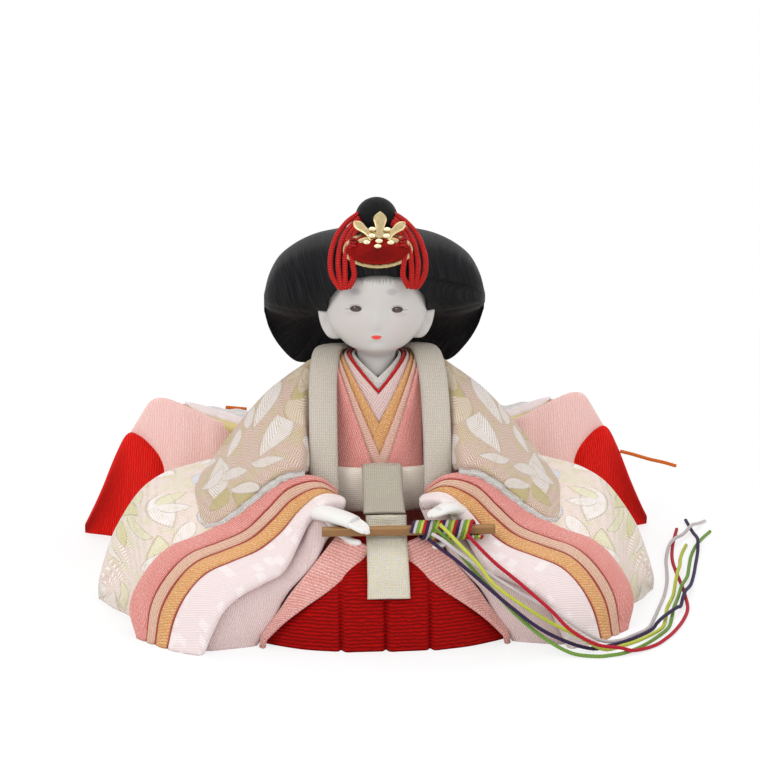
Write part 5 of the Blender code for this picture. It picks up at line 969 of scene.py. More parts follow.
def on_chest(x, z, out):
    """The point of the chest at X and a height. The chest is a half ellipse that grows from
    the neckline down, and out is how far a layer stands off it."""
    drop = NECKLINE - z
    wide = NECK_RADIUS + drop * SHOULDER_SLOPE + out
    deep = NECK_RADIUS + drop * CHEST_SLOPE + out
    sine = np.clip(x / wide, -1, 1)
    return np.stack([wide * sine, NECK_Y - deep * np.sqrt(1 - sine ** 2), z], -1)


def collar_side(layer, apex, width, over):
    """One half of a collar, from below the point of its V, up to the side of the neck and
    round to the middle of the nape. Above the V the band slants from the point to the neck,
    below it the band runs on past the middle, so that the two halves cross. There one half
    lies over the other by the lift given."""
    rise, opening = NECKLINE - apex, NECK_RADIUS + layer * COLLAR_PITCH
    slant, hang = math.atan2(opening, rise), math.atan(SHOULDER_SLOPE)
    run = np.linspace(BELOW_POINT, 1, COLLAR_ROWS)
    part = np.clip(run, 0, 1)
    turn = ((math.pi / 2 - slant) * (1 - part) + hang * part)[:, None]
    wide = (width * (1 - part) + NAPE_BAND * part)[:, None] * np.linspace(0, 1, COLLAR_COLUMNS)
    x = (opening * run)[:, None] + wide * np.sin(turn)
    z = np.maximum((apex + rise * run)[:, None] - wide * np.cos(turn), COLLAR_HEM)
    near = np.clip(1 - np.abs(run) * CROSSING_FADE, 0, 1) + (run < 0)
    near = np.minimum(near, 1)[:, None] / 2
    chest = on_chest(x, z, layer * COLLAR_PITCH + over * near)
    angle = np.linspace(0, math.pi / 2, NAPE_ROWS + 1)[1:, None]
    low = np.linspace(0, NAPE_BAND * math.cos(hang), COLLAR_COLUMNS)
    drop = np.broadcast_to(low, (NAPE_ROWS, COLLAR_COLUMNS))
    wide = opening + drop * SHOULDER_SLOPE
    deep = opening * NAPE_DEPTH + drop * NAPE_SLOPE
    nape = np.stack([wide * np.cos(angle), NECK_Y + deep * np.sin(angle), NECKLINE - drop], -1)
    return np.concatenate([chest, nape])


for layer, (name, apex, width, stuff, slot) in enumerate(COLLARS):
    halves = [slab(collar_side(layer, apex, width, side * CROSSING_LIFT) * (side, 1, 1),
                   COLLAR_THICKNESS) for side in (1.0, -1.0)]
    put("collar_band_" + name, halves, stuff, "root", ["collar_" + name])

# Silver brocade: the jacket's two lapels, the waist sash, its hanging flap and its free end.
# The flap is folded over the sash and the fan, and the free end hangs below them.
LAPEL_PATH = ((20.8, -38.5, 46), (20.9, -35.5, 58), (20.9, -29, 72), (20.4, -16, 87),
              (18.4, -4.5, 94.6), (14.0, 6, 93.6))
LAPEL_WIDTH, LAPEL_THICKNESS, LAPEL_ROUNDNESS = 10.4, 2.6, 3.0
FLAP_PATH = ((0.5, -31.5, 57.9), (0.5, -33.5, 57), (0.5, -36, 53.5), (0.5, -41, 49),
             (0.5, -47, 46.5), (0.5, -50.2, 45.2))
END_PATH = ((1, -51.8, 45), (1, -53, 41), (1, -56.5, 36.8), (1, -62.5, 32.6), (1, -67.7, 26.5),
            (1, -70.6, 19.6))
FLAP_WIDTH, FLAP_THICKNESS = 14.8, 1.7
END_WAVE = 0.15
STRAP_WIDENING = 0.04
SASH_LOW, SASH_TALL, SASH_REACH, SASH_Y, SASH_THICKNESS = 40.0, 16.5, 24.0, -30.5, 2.2
POINT_CELL, POINT_GOLD = 1.1, (0.72, 0.56, 0.20, 1)


def metal_brocade(name, light, dark, gold_share=0.0):
    """Silver brocade: metal thread and silk in a coarse grainy weave. A gold share above 0
    adds gold points to it."""
    material, tree, shader = finish_of(name, 0.5, Metallic=0.25, Sheen_Weight=0.2)
    across, along = lengths_on(tree)
    weave = maths(tree, "MULTIPLY", ridges(tree, across, 0.75, grain(
        tree, across, along, 0.8, 0.8), 5.0), ridges(tree, along, 0.6))
    speck = grain(tree, across, along, 0.28, 0.28, 3.0)
    share = step(tree, "Clamp", {0: maths(tree, "MULTIPLY_ADD", speck, 1.6, maths(
        tree, "MULTIPLY_ADD", weave, 0.5, -0.5))}).outputs[0]
    cloth = mixed(tree, share, tint(dark), tint(light))
    if gold_share:
        place = in_cells(tree, across, along, POINT_CELL, POINT_CELL)
        points = step(tree, "TexVoronoi", {"Vector": place, "Scale": 1.0, "Randomness": 0.3})
        shown = maths(tree, "LESS_THAN", points.outputs["Distance"], 0.3)
        cloth = mixed(tree, maths(tree, "MULTIPLY", shown, gold_share), cloth, POINT_GOLD)
    dyed(tree, shader, cloth)
    raised(tree, shader, maths(tree, "ADD", weave, speck), 0.16)
    return material


def strap(path, width, side=1.0, count=80, wave=0.0):
    """A flat band square to X along a path of X, depth and height. Its gathers are waves
    across it, and its lower end widens a little with the fourth power of the length."""
    line = smooth(path, count)
    share = np.linspace(-1, 1, 25)
    along = unit(np.gradient(line[:, 1:], axis=0))
    out = np.stack([along[:, 1], -along[:, 0]], 1)
    out *= np.where(out[:, :1] > 0, -1, 1)
    run = np.linspace(0, 1, count)[:, None]
    lift = wave * np.sin(run * 26) * np.cos(share * 2.4)
    x = line[:, :1] * side + share * width / 2 * (1 + STRAP_WIDENING * run ** 4)
    return np.stack([x, line[:, 1:2] + out[:, :1] * lift, line[:, 2:] + out[:, 1:] * lift], -1)


def waist():
    """The sash: it bows forward in the middle and swells between its two edges."""
    share, rise = np.linspace(-1, 1, 60)[:, None], np.linspace(0, 1, 24)
    y = (SASH_Y * (1 - share ** 2 / 5) - np.sin(np.pi * rise) * SASH_THICKNESS / 3
         - (1 - rise) * SASH_THICKNESS)
    return np.stack([np.broadcast_to(share * SASH_REACH, y.shape), y,
                     np.broadcast_to(SASH_LOW + rise * SASH_TALL, y.shape)], -1)


silver_brocade = metal_brocade("silver_brocade", (0.85, 0.80, 0.72), (0.33, 0.27, 0.20))
# Painted light: the waist sash takes a lightened copy of the silver brocade, to cancel the shade on
# its sides.
lit_sash_brocade = metal_brocade("lit_sash_brocade", (1.0, 0.94, 0.85), (0.93, 0.80, 0.66))
# Painted shade: the hanging flap takes a darkened copy of the silver brocade.
shaded_flap_brocade = metal_brocade("shaded_flap_brocade", (0.72, 0.67, 0.58), (0.26, 0.22, 0.15))
gold_dotted = metal_brocade("gold_dotted_brocade", (0.88, 0.86, 0.81), (0.46, 0.42, 0.34), 0.8)
for label, side in SIDES:
    lapel = slab(strap(LAPEL_PATH, LAPEL_WIDTH, side), LAPEL_THICKNESS, LAPEL_ROUNDNESS)
    put("silver_lapel_" + label, [lapel], silver_brocade, "root", ["lapel_" + label])
put("wound_sash", [slab(waist(), SASH_THICKNESS)], lit_sash_brocade, "root", ["waist_sash"])
flap = put("hanging_flap", [slab(strap(FLAP_PATH, FLAP_WIDTH), FLAP_THICKNESS)], shaded_flap_brocade,
           "root", ["sash_flap"])
sash_tail = put("free_sash_end",
                [slab(strap(END_PATH, FLAP_WIDTH, wave=END_WAVE), FLAP_THICKNESS)],
                gold_dotted, "root", ["sash_end"])

# Hands: carved wood under white shell paint. The fingers lie over the fan, side by side, and
# the thumb holds it from below.
LEFT_PALM = ((-29, -43, 43, 3.6, 3.0), (-24, -48, 45.4, 3.9, 2.8),
             (-18.5, -52.5, 45.5, 4.3, 2.7), (-12.5, -56.6, 44.7, 4.2, 2.3),
             (-8, -60.0, 42.9, 3.5, 1.8), (-5.6, -61.3, 41.0, 1.8, 1.2))
LEFT_THUMB = ((-21, -50.5, 44.5, 2.6, 2.4), (-16.5, -53.2, 39.5, 2.2, 2.0),
              (-12, -56, 36.8, 1.9, 1.5), (-8.3, -57.8, 36.4, 1.2, 1.1))
RIGHT_PALM = ((30, -44, 41.5, 3.6, 3.0), (27, -48.5, 45.4, 3.8, 2.6), (23, -53, 47.6, 3.6, 2.0),
              (18.5, -56.4, 47, 2.6, 1.6), (15.5, -58.2, 46.4, 1.3, 1.0))
RIGHT_THUMB = ((26.5, -49.5, 44, 2.6, 2.4), (25, -51.2, 38.5, 2.2, 2.2),
               (21.5, -55, 35, 2.0, 1.6), (17.5, -57.8, 34.4, 1.2, 1.1))
FINGER_RADIUS = 1.05
FINGER_SPREAD = (-0.72, -0.24, 0.24, 0.72)
FINGER_ENDS = (0.93, 1.0, 0.985, 0.92)
FINGER_START, PALM_END = 0.42, 0.66
FINGER_TAPER, TIP_START = 0.22, 0.86
THUMB_RADIUS = 1.55


def shell_paint(name, colour, roughness=0.5):
    """White shell paint over wood: an even matt coat with faint clouds and a soft bloom."""
    material, tree, shader = finish_of(name, roughness, Subsurface_Weight=0.08,
                                       Subsurface_Scale=0.002)
    place = step(tree, "TexCoord").outputs["Object"]
    clouds = step(tree, "TexNoise", {"Vector": place, "Scale": 220.0, "Detail": 3.0}).outputs[0]
    fine = step(tree, "TexNoise", {"Vector": place, "Scale": 2600.0}).outputs[0]
    dyed(tree, shader, mixed(tree, clouds, tint(colour, 0.97), tint(colour, 1.03)))
    raised(tree, shader, fine, 0.01)
    return material, tree, shader


def limb(table, start, end, shift=0.0, radius=None, count=40, around=24):
    """Oval rings square to a path of X, depth, height, half width and half thickness, from
    one share of it to another. shift moves the path across by a share of the half width,
    and a radius makes it a round finger with a domed tip."""
    rows = smooth(table, 200)
    stops = np.interp(np.linspace(start, end, count), np.linspace(0, 1, 200), np.arange(200))
    rows = np.stack([np.interp(stops, np.arange(200), column) for column in rows.T], 1)
    path = rows[:, :3]
    along = unit(np.gradient(path, axis=0))
    across = unit(np.cross(along, (0, 0, 1)))
    up = np.cross(across, along)
    wide, thick = rows[:, 3:4], rows[:, 4:5]
    path = path + across * wide * shift
    share = np.linspace(0, 1, count)[:, None]
    if radius:
        past = np.clip((share - TIP_START) / (1 - TIP_START), 0, 1)
        dome = np.sqrt(np.clip(1 - past ** 2, 0.02, 1))
        wide = thick = radius * (1 - FINGER_TAPER * share) * dome
    turn = circle(around)
    return (path[:, None] + across[:, None] * (wide * np.cos(turn))[..., None]
            + up[:, None] * (thick * np.sin(turn))[..., None])


hand_paint = shell_paint("hand_paint", (0.82, 0.80, 0.77))[0]
for label, palm, thumb in (("left", LEFT_PALM, LEFT_THUMB), ("right", RIGHT_PALM, RIGHT_THUMB)):
    parts = [limb(palm, 0, PALM_END), limb(thumb, 0, 1, radius=THUMB_RADIUS)]
    parts += [limb(palm, FINGER_START, stop, spread, FINGER_RADIUS)
              for spread, stop in zip(FINGER_SPREAD, FINGER_ENDS)]
    put("carved_hand_" + label, parts, hand_paint, "root", ["hand_" + label])

# Fan: a folding fan of cypress, held shut. Two guard sticks lie outside, with thin ribs
# between them.
FAN_BOX = ((-22.4, 40.1), (-58.5, -55.5), (39.3, 42.3))
RIBS = 7
GUARD_THICKNESS = 0.62
FAN_WALLS = GUARD_THICKNESS * 2
RIB_GAP, RIB_INSET = 0.06, 0.15
PALE_TOP_HEIGHTS = (41.5, 42.1)
WOOD_DARK, WOOD_LIGHT = (0.17, 0.07, 0.014, 1), (0.34, 0.165, 0.045, 1)
WOOD_PALE_TOP = (0.42, 0.23, 0.08, 1)


def fan_stick(y, thick, low, high):
    """One stick of the fan: a bar as long as the fan. At angle a its section lies at the
    cosine and the sine, both to the power 0.4, times half its thickness and half its height."""
    turn = circle(20)
    wide = bulge(np.cos(turn), 0.4) * thick / 2
    tall = bulge(np.sin(turn), 0.4) * (high - low) / 2
    x = np.linspace(*FAN_BOX[0], 40)[:, None]
    return np.stack(np.broadcast_arrays(x, y + wide, (low + high) / 2 + tall), -1)


def fan_wood():
    """Cypress: fine streaks along the stick, yellow-brown, and a paler upper edge."""
    material, tree, shader = finish_of("fan_wood", 0.42, Coat_Weight=0.15)
    x, y, z = place_on(tree)
    streaks = grain(tree, x, maths(tree, "ADD", y, z), 9.0, 0.25, 4.0)
    # The top edge of the sticks is paler, by height alone.
    pale_top = maths(tree, "MULTIPLY", between(tree, z, *PALE_TOP_HEIGHTS), 0.6)
    dyed(tree, shader, mixed(tree, pale_top, mixed(tree, streaks, WOOD_DARK, WOOD_LIGHT), WOOD_PALE_TOP))
    raised(tree, shader, streaks, 0.05)
    return material


front, back = FAN_BOX[1]
pitch = (back - front - FAN_WALLS) / RIBS
low, high = FAN_BOX[2]
sticks = [fan_stick(front + GUARD_THICKNESS / 2, GUARD_THICKNESS, low, high),
          fan_stick(back - GUARD_THICKNESS / 2, GUARD_THICKNESS, low, high)]
sticks += [fan_stick(front + GUARD_THICKNESS + pitch * (rib + 0.5), pitch - RIB_GAP,
                     low + RIB_INSET, high - RIB_INSET) for rib in range(RIBS)]
put("closed_fan", sticks, fan_wood(), "fan", ["fan"])

# Winding: the five silk cords run side by side round the fan and hold it shut. They are five
# parallel helices.
WINDING_SPAN = (9.5, 36.5)
WINDING_TURNS = 3.9
WINDING_RADIUS = 3.05
WINDING_THICKNESS = 1.25
WINDING_LAY = 3.6
WINDING_ORDER = ("purple", "white", "green", "yellow", "red")
FAN_Y, FAN_Z = -57.0, 40.8
for number, name in enumerate(WINDING_ORDER):
    turn = np.linspace(0, WINDING_TURNS, 520)
    pitch = (WINDING_SPAN[1] - WINDING_SPAN[0]) / (WINDING_TURNS + 1)
    x = WINDING_SPAN[0] + pitch * (turn + number / len(WINDING_ORDER))
    angle = 2 * np.pi * turn
    path = np.stack([x, FAN_Y - WINDING_RADIUS * np.cos(angle),
                     FAN_Z + WINDING_RADIUS * np.sin(angle)], 1)
    winding = sweep(path, plied(path, WINDING_THICKNESS, WINDING_LAY), (1, 0, 0))
    put("wound_cord_" + name, [winding], silks[name], "fan", ["cord_winding"])

# Head: wood under shell paint, with small painted eyes, brows and mouth. The neck is one
# piece with it.
HEAD_LEVELS = ((86, 7, -10, 4), (93, 7.2, -10.2, 4.2), (96, 8.5, -15, 8), (98, 12, -17.6, 12),
               (101, 15, -18.8, 15), (105, 17.8, -19.3, 17.5), (109, 19.2, -19.4, 19),
               (114, 19.6, -19, 19.5), (120, 18.6, -18.3, 19.3), (125.5, 16.8, -16.6, 18),
               (131, 12.8, -13, 15.5), (135, 7.8, -8, 10.5), (137, 3, -3.5, 5))
FEATURES = ((-0.6, 108.6, 1.7, 2.6, -0.75), (-0.6, 113.5, 1.5, 4.5, -0.30),
            (-8.0, 114.2, 4.6, 2.6, 0.55), (6.8, 114.0, 4.6, 2.6, 0.55),
            (-0.8, 103.2, 2.4, 1.1, -0.30), (-0.8, 105.2, 1.2, 0.9, 0.18),
            (-0.8, 101.0, 2.6, 0.8, 0.22), (-0.7, 98.0, 4.5, 1.8, -0.35),
            (-9.5, 106.0, 5.0, 4.0, -0.35), (8.5, 106.0, 5.0, 4.0, -0.35))
EAR_TOP, EAR_BOTTOM = 110.2, 98.8
EAR_ROOT, EAR_LOBE, EAR_OUT = 12.0, 16.0, 21.8
EAR_Y, EAR_HALF_DEPTH = -1.5, 3.0
EAR_HOLLOW = (18.6, 106, 1.6, 2.6, 0.7)
FACE_FRONT = -6.0
CHEEKS = (-9.0, 8.0)
EYES = ((-1, -8.3, 113.6, -8.2), (1, 7.0, 113.2, 5.0))
BROW_HEIGHT = 119.9
LIPS = ((-0.8, 103.0, 1.6, 0.62, 0.0, 0.35, 0.05), (-1.7, 103.55, 1.1, 0.42, 0.22, 0.4),
        (0.1, 103.55, 1.1, 0.42, -0.22, 0.4))
HAIR_ROOTS = (121.6, 125.8)
BLUSH, LIP_RED = (0.66, 0.46, 0.41, 1), (0.78, 0.055, 0.035, 1)
BROW_INK, LASH_INK = (0.33, 0.30, 0.33, 1), (0.34, 0.30, 0.27, 1)
EYE_BLACK, IRIS_BROWN = (0.030, 0.016, 0.014, 1), (0.10, 0.055, 0.045, 1)
# The first colour on the next line paints a reflection in each eye.
PAINTED_EYE_REFLECTION, ROOT_GREY = (0.8, 0.8, 0.8, 1), (0.10, 0.10, 0.10, 1)


def face():
    """The head as level rings, with the features as soft bumps. A bump adds its height times
    exp(-(dx / width) squared - (dz / tall) squared) to the depth of points at the front."""
    rows = smooth(HEAD_LEVELS, 190)
    turn = circle(180)
    z, wide, front, back = rows.T[:, :, None]
    x = wide * np.cos(turn)
    y = (front + back) / 2 + (back - front) / 2 * np.sin(turn)
    z = np.broadcast_to(z, x.shape)
    facing = np.clip(-np.sin(turn), 0, 1) ** 0.5
    for middle, height, width, tall, depth in FEATURES:
        y = y + depth * np.exp(-((x - middle) / width) ** 2 - ((z - height) / tall) ** 2) * facing
    return np.stack([x, y, z], -1)


def ear(side):
    """An ear as level ovals from the top down. They are widest at the top and narrow to the
    lobe with the square root of 1 - share to the power 1.7. A bell-shaped hollow is pressed
    into the front."""
    share = np.linspace(0, 1, 30)[:, None]
    turn = circle(28)
    out = EAR_LOBE + (EAR_OUT - EAR_LOBE) * np.sqrt(np.clip(1 - share ** 1.7, 0, 1))
    half = (out - EAR_ROOT) / 2
    ends = np.sqrt(np.clip(1 - (2 * share - 1) ** 12, 0.02, 1))
    x = EAR_ROOT + half + half * np.cos(turn)
    y = EAR_Y + EAR_HALF_DEPTH * ends * np.sin(turn) - 2.0 * (x - EAR_ROOT) / 10
    z = EAR_TOP - (EAR_TOP - EAR_BOTTOM) * share + 0 * turn
    middle, height, width, tall, depth = EAR_HOLLOW
    dent = depth * np.exp(-((x - middle) / width) ** 2 - ((z - height) / tall) ** 2)
    return np.stack([x * side, y + dent * (np.sin(turn) < 0), z], -1)


def painted_face():
    """Shell paint, with the features brushed on. A stroke is 1 inside an ellipse and fades
    over its soft rim, and it shows on the front of the head alone."""
    material, tree, shader = shell_paint("face_paint", (0.58, 0.555, 0.53), 0.42)
    x, y, z = place_on(tree)
    front = maths(tree, "LESS_THAN", y, FACE_FRONT)

    def stroke(middle, height, wide, tall, slant=0.0, soft=0.25, bend=0.0):
        """The share of paint at a point. slant tilts the ellipse, bend curves it."""
        dx = maths(tree, "SUBTRACT", x, middle)
        dz = maths(tree, "SUBTRACT", z, height)
        dz = maths(tree, "MULTIPLY_ADD", dx, -slant, dz)
        dz = maths(tree, "MULTIPLY_ADD", maths(tree, "MULTIPLY", dx, dx), -bend, dz)
        away_x = maths(tree, "POWER", maths(tree, "ABSOLUTE", maths(tree, "DIVIDE", dx, wide)), 2.0)
        away_z = maths(tree, "POWER", maths(tree, "ABSOLUTE", maths(tree, "DIVIDE", dz, tall)), 2.0)
        shown = between(tree, maths(tree, "ADD", away_x, away_z), 1 + soft, max(1 - soft, 0.0))
        return maths(tree, "MULTIPLY", shown, front)

    layers = [(stroke(cheek_x, 106.5, 6, 4.5, soft=1.0), 0.16, BLUSH) for cheek_x in CHEEKS]
    for side, eye_x, eye_z, brow_x in EYES:
        lashes = maths(tree, "MULTIPLY", stroke(eye_x + 0.8 * side, eye_z - 1.7, 2.6, 0.9,
                                                -0.12 * side, 0.6), ridges(tree, x, 0.62))
        lid = stroke(eye_x, eye_z + 1.45, 2.7, 0.26, -0.03 * side, 0.6, -0.10)
        corner = stroke(eye_x + 2.6 * side, eye_z - 0.35, 1.5, 0.30, -0.10 * side, 0.7)
        layers += [
            (stroke(brow_x, BROW_HEIGHT, 1.9, 1.2, -0.05 * side, 0.75), 0.50, BROW_INK),
            (lashes, 0.45, LASH_INK), (lid, 0.6, LASH_INK), (corner, 0.7, LASH_INK),
            (stroke(eye_x, eye_z, 2.15, 1.15, -0.06 * side, 0.22), 1.0, EYE_BLACK),
            (stroke(eye_x, eye_z - 0.15, 1.0, 0.8, 0.0, 0.6), 0.5, IRIS_BROWN),
            # A painted reflection: a small pale spot near the top of each eye.
            (stroke(eye_x - 0.45, eye_z + 0.4, 0.22, 0.18, 0.0, 0.5), 0.5, PAINTED_EYE_REFLECTION)]
    layers += [(stroke(*lip), 1.0, LIP_RED) for lip in LIPS]
    brush = maths(tree, "MULTIPLY_ADD", between(tree, z, *HAIR_ROOTS), 0.62,
                  grain(tree, x, z, 0.20, 6.0, 3.0))
    roots = maths(tree, "MULTIPLY", between(tree, brush, 0.74, 0.92), front)
    colour = shader.inputs["Base Color"].links[0].from_socket
    for shape, strength, paint in layers + [(roots, 0.75, ROOT_GREY)]:
        colour = mixed(tree, maths(tree, "MULTIPLY", shape, strength), colour, paint)
    dyed(tree, shader, colour)
    return material


put("painted_head", [face(), ear(-1.0), ear(1.0)], painted_face(), "head", ["head"])

# Wig: black silk floss combed up from the brow and out into two round wings, a bun on top,
# and a long tail down the back, tied with a white paper band.
WIG_SECTIONS = ((-17.5, 31, 84, 139.5), (-17, 31, 84, 139.3), (-13, 30.5, 83.5, 138),
                (-7.5, 30, 83, 135.8), (-4.5, 28, 84, 132.3), (-1.5, 25, 90.5, 127.3),
                (2.5, 20, 98, 120.5), (8, 14, 106, 113))
WIG_X = (0, 8, 16, 23, 30, 36, 39.8, 41.8)
WIG_OUTLINE = ((0.45, 1), (0.11, 0.95), (0, 0.79), (0.02, 0.58), (0.22, 0.46), (0.55, 0.36),
               (0.77, 0.20), (0.86, 0), (0.95, 0.04), (1, 0.22), (1, 0.50), (0.95, 0.75),
               (0.76, 0.94))
HAIRLINE, HAIRLINE_FALL, TEMPLE, HAIRLINE_BLEND, FACE_RECESS = 126.0, 9.0, 17.2, 1.2, 11
CREASE_HEIGHT, CREASE_SLOPE, CREASE_DEPTH, CREASE_HALF_WIDTH = 107.6, 0.13, 0.8, 1.1
CREASE_START, CREASE_MIDDLE, CREASE_BLEND = 19, 20, 3
BUN_MIDDLE, BUN_RADIUS, BUN_HALF_HEIGHT = (0.3, 3.0, 143.3), 8.0, 8.1
TAIL_PATH = ((25, 84, 1, 1), (24.5, 74, .95, 1), (27, 65, .9, .95), (35, 59.6, .88, .9),
             (46, 56.4, .9, .85), (58, 54.6, .93, .8), (70, 52.8, .95, .75),
             (79, 47.9, .9, .7), (86, 37, .7, .5))
TAIL_WIDTH, TAIL_THICKNESS = 15.0, 7.0
TIE_SHARE, TIE_HALF_SHARE, TIE_SWELL = 0.455, 0.03, 1.1


def floss(name, light=(0.032, 0.032, 0.035), dark=(0.002, 0.002, 0.003), strand=0.34,
          along_rows=False):
    """Combed silk floss: near black, in fine parallel strands with a dull silky gloss, and a painted
    sheen on the paler strands and locks.
    """
    material, tree, shader = finish_of(name, 0.5, Specular_IOR_Level=0.12)
    across, along = lengths_on(tree)
    if along_rows:
        across, along = along, across
    strands = grain(tree, along, across, strand, 16.0, 4.0)
    locks = grain(tree, along, across, strand * 6, 40.0, 2.0)
    share = maths(tree, "MULTIPLY", between(tree, strands, 0.44, 0.70),
                  maths(tree, "MULTIPLY_ADD", locks, 1.6, -0.2))
    share = step(tree, "Clamp", {0: share}).outputs[0]
    # Painted sheen: the paler strands and locks stand in for the gloss on black floss.
    dyed(tree, shader, mixed(tree, share, tint(dark), tint(light)))
    raised(tree, shader, maths(tree, "MULTIPLY_ADD", locks, 0.8, strands), 0.45)
    return material


def wig():
    """The wig as sections at even X. A section is one closed outline, scaled between its
    own front and back, bottom and top. Below the hairline, whose height falls with the
    third power of X, the front is drawn back into the head. The crease where the floss is
    rolled under is a groove with a bell section on each wing."""
    half = smooth(WIG_SECTIONS, 400)
    half_x = smooth(np.asarray(WIG_X, float), 400)
    x = np.linspace(-WIG_X[-1], WIG_X[-1], 260)[:, None]
    front, back, low, high = (np.interp(np.abs(x), half_x, column) for column in half.T)
    curve = closed_curve(np.asarray(WIG_OUTLINE, float))
    ring = curve[np.linspace(0, len(curve), 240, endpoint=False).astype(int)]
    y = front + (back - front) * ring[:, 0]
    z = low + (high - low) * ring[:, 1]
    ahead = (ring[:, 0] < 0.5) & (ring[:, 1] > 0.3)
    line = HAIRLINE - HAIRLINE_FALL * (np.abs(x) / TEMPLE) ** 3
    under = np.clip((line - z) / HAIRLINE_BLEND, 0, 1)
    over_face = np.clip((TEMPLE + HAIRLINE_BLEND - np.abs(x)) / HAIRLINE_BLEND, 0, 1)
    y = y + FACE_RECESS * (under ** 2 * (3 - 2 * under)) * over_face * ahead
    crease = CREASE_HEIGHT + CREASE_SLOPE * (np.abs(x) - CREASE_MIDDLE)
    beside = np.clip((np.abs(x) - CREASE_START) / CREASE_BLEND, 0, 1)
    groove = np.exp(-((z - crease) / CREASE_HALF_WIDTH) ** 2)
    y = y + CREASE_DEPTH * groove * beside * ahead
    return np.stack([np.broadcast_to(x, y.shape), y, z], -1)


def ball(middle, wide, tall, rows=40, around=56):
    """A sphere stretched to its half width and half height."""
    rise = np.linspace(-0.995, 0.995, rows)[:, None] * math.pi / 2
    turn = circle(around)
    ring = wide * np.cos(rise)
    return np.stack([middle[0] + ring * np.cos(turn), middle[1] + ring * np.sin(turn),
                     middle[2] + tall * np.sin(rise) + 0 * turn], -1)


def tail_rings(start, stop, count, swell=1.0, around=40):
    """Oval rings along the tail, square to its path, between two shares of it."""
    rows = smooth(TAIL_PATH, 300)
    stops = np.linspace(start, stop, count) * 299
    y, z, wide, thick = (np.interp(stops, np.arange(300), column) for column in rows.T)
    along = unit(np.stack([np.gradient(y), np.gradient(z)], 1))
    turn = circle(around)
    across = wide[:, None] * TAIL_WIDTH / 2 * swell * np.cos(turn)
    out = thick[:, None] * TAIL_THICKNESS / 2 * swell * np.sin(turn)
    return np.stack([across, y[:, None] - along[:, 1:] * out, z[:, None] + along[:, :1] * out],
                    -1)


hair = floss("combed_floss")
bun_hair = floss("bun_floss", along_rows=True)
put("wig", [wig()], hair, "head", ["hair_wings"])
put("bun", [ball(BUN_MIDDLE, BUN_RADIUS, BUN_HALF_HEIGHT)], bun_hair, "head", ["hair_bun"])
put("long_tail", [tail_rings(0, 1, 120)], bun_hair, "head", ["hair_tail"])
paper = crepe("tie_paper", (0.86, 0.85, 0.82), (0.94, 0.93, 0.91), rib=0.9)
tie = tail_rings(TIE_SHARE - TIE_HALF_SHARE, TIE_SHARE + TIE_HALF_SHARE, 12, TIE_SWELL)
put("paper_tie", [tie], paper, "head", ["hair_tie"])

# Crown: a gilt oval plate with a red padded cushion, and a gilt crest of three prongs with
# beads. Red braided cords, four a side, hang from the bun past the plate, and a small knot
# of red cord sits on each side of the crest.
CROWN_MIDDLE = (0.0, -13.3, 134.6)
CROWN_LEAN = math.radians(52.0)
PAD_HALF = (11.6, 6.0, 2.6)
PAD_RISE = 1.3
HAIR_CORD_STRANDS = (
    ((6.6, 0.8, 145.6), (11.2, -3, 142.9), (15.3, -8, 138.4), (17.4, -13.3, 132.4),
     (17.1, -16.9, 126.5), (14.2, -18.7, 121.7)),
    ((6.2, -0.6, 144.2), (10.2, -5, 141.2), (13.1, -9.8, 137.6), (14.6, -14.5, 131.8),
     (14.4, -17.5, 126.5), (13.1, -19.2, 121.2)),
    ((5.9, -1.8, 143.2), (9.5, -7, 140.0), (11.4, -11, 136.8), (12.1, -15.3, 131.8),
     (12.2, -18.0, 126.5), (12.1, -19.5, 121.4)),
    ((5.8, -2.6, 142.3), (8.8, -8.2, 138.9), (10.2, -12.4, 135.8), (9.4, -16.9, 130.5),
     (9.0, -18.8, 126.2), (11.1, -19.4, 121.9)))
HAIR_CORD_DIAMETER = 2.1
HAIR_CORD_PITCH = 3.4
HAIR_CORD_STEP = 0.25
KNOT_MIDDLE, KNOT_RADIUS, KNOT_TURNS, KNOT_HEIGHT = (9.4, -15.6, 138.2), 0.75, 3, 3.6
KNOT_CORD, KNOT_LAY = 1.2, 2.4
CREST_ARMS = (((0.6, -14.2, 139.4), (1.2, -7.4, 147.9),
               (3.0, 2.2, 1.75, 1.7, 1.8, 2.1, 2.45, 2.4, 1.7, 0.5)),
              ((-1.2, -14.2, 139.4), (-8.7, -9.2, 144.7),
               (2.4, 1.9, 1.45, 1.25, 1.3, 1.5, 1.75, 1.75, 1.35, 0.5)),
              ((2.6, -14.2, 139.4), (10.3, -9.2, 144.2),
               (2.4, 1.9, 1.45, 1.25, 1.3, 1.5, 1.75, 1.75, 1.35, 0.5)),
              ((-7.4, -14.2, 138.4), (7.8, -14.2, 138.3),
               (0.7, 1.2, 1.7, 1.9, 2.0, 2.0, 1.9, 1.7, 1.2, 0.7)))
CREST_THICKNESS = 0.9
CREST_SIDEWAYS = (0.0, -0.80, 0.60)
CREST_BEADS = ((-2.3, -15.3, 140.5), (3.1, -15.3, 140.4), (-4.2, -15.7, 138.2),
               (4.6, -15.7, 138.0), (0.3, -15.9, 138.7), (-0.2, -16.6, 136.9),
               (-2.0, -12.9, 142.5), (3.5, -12.9, 142.3))
BEAD_SIZE = (1.45, 0.8, 0.9)


def gilt(name, colour):
    """Gilt brass: warm metal, hammered a little, with matt patches."""
    material, tree, shader = finish_of(name, 0.3, Metallic=1.0)
    place = step(tree, "TexCoord").outputs["Object"]
    hammer = step(tree, "TexNoise", {"Vector": place, "Scale": 900.0, "Detail": 3.0}).outputs[0]
    dyed(tree, shader, mixed(tree, hammer, tint(colour, 0.85), tint(colour, 1.15)))
    tree.links.new(between(tree, hammer, 0.3, 0.7, 0.22, 0.42), shader.inputs["Roughness"])
    raised(tree, shader, hammer, 0.05)
    return material


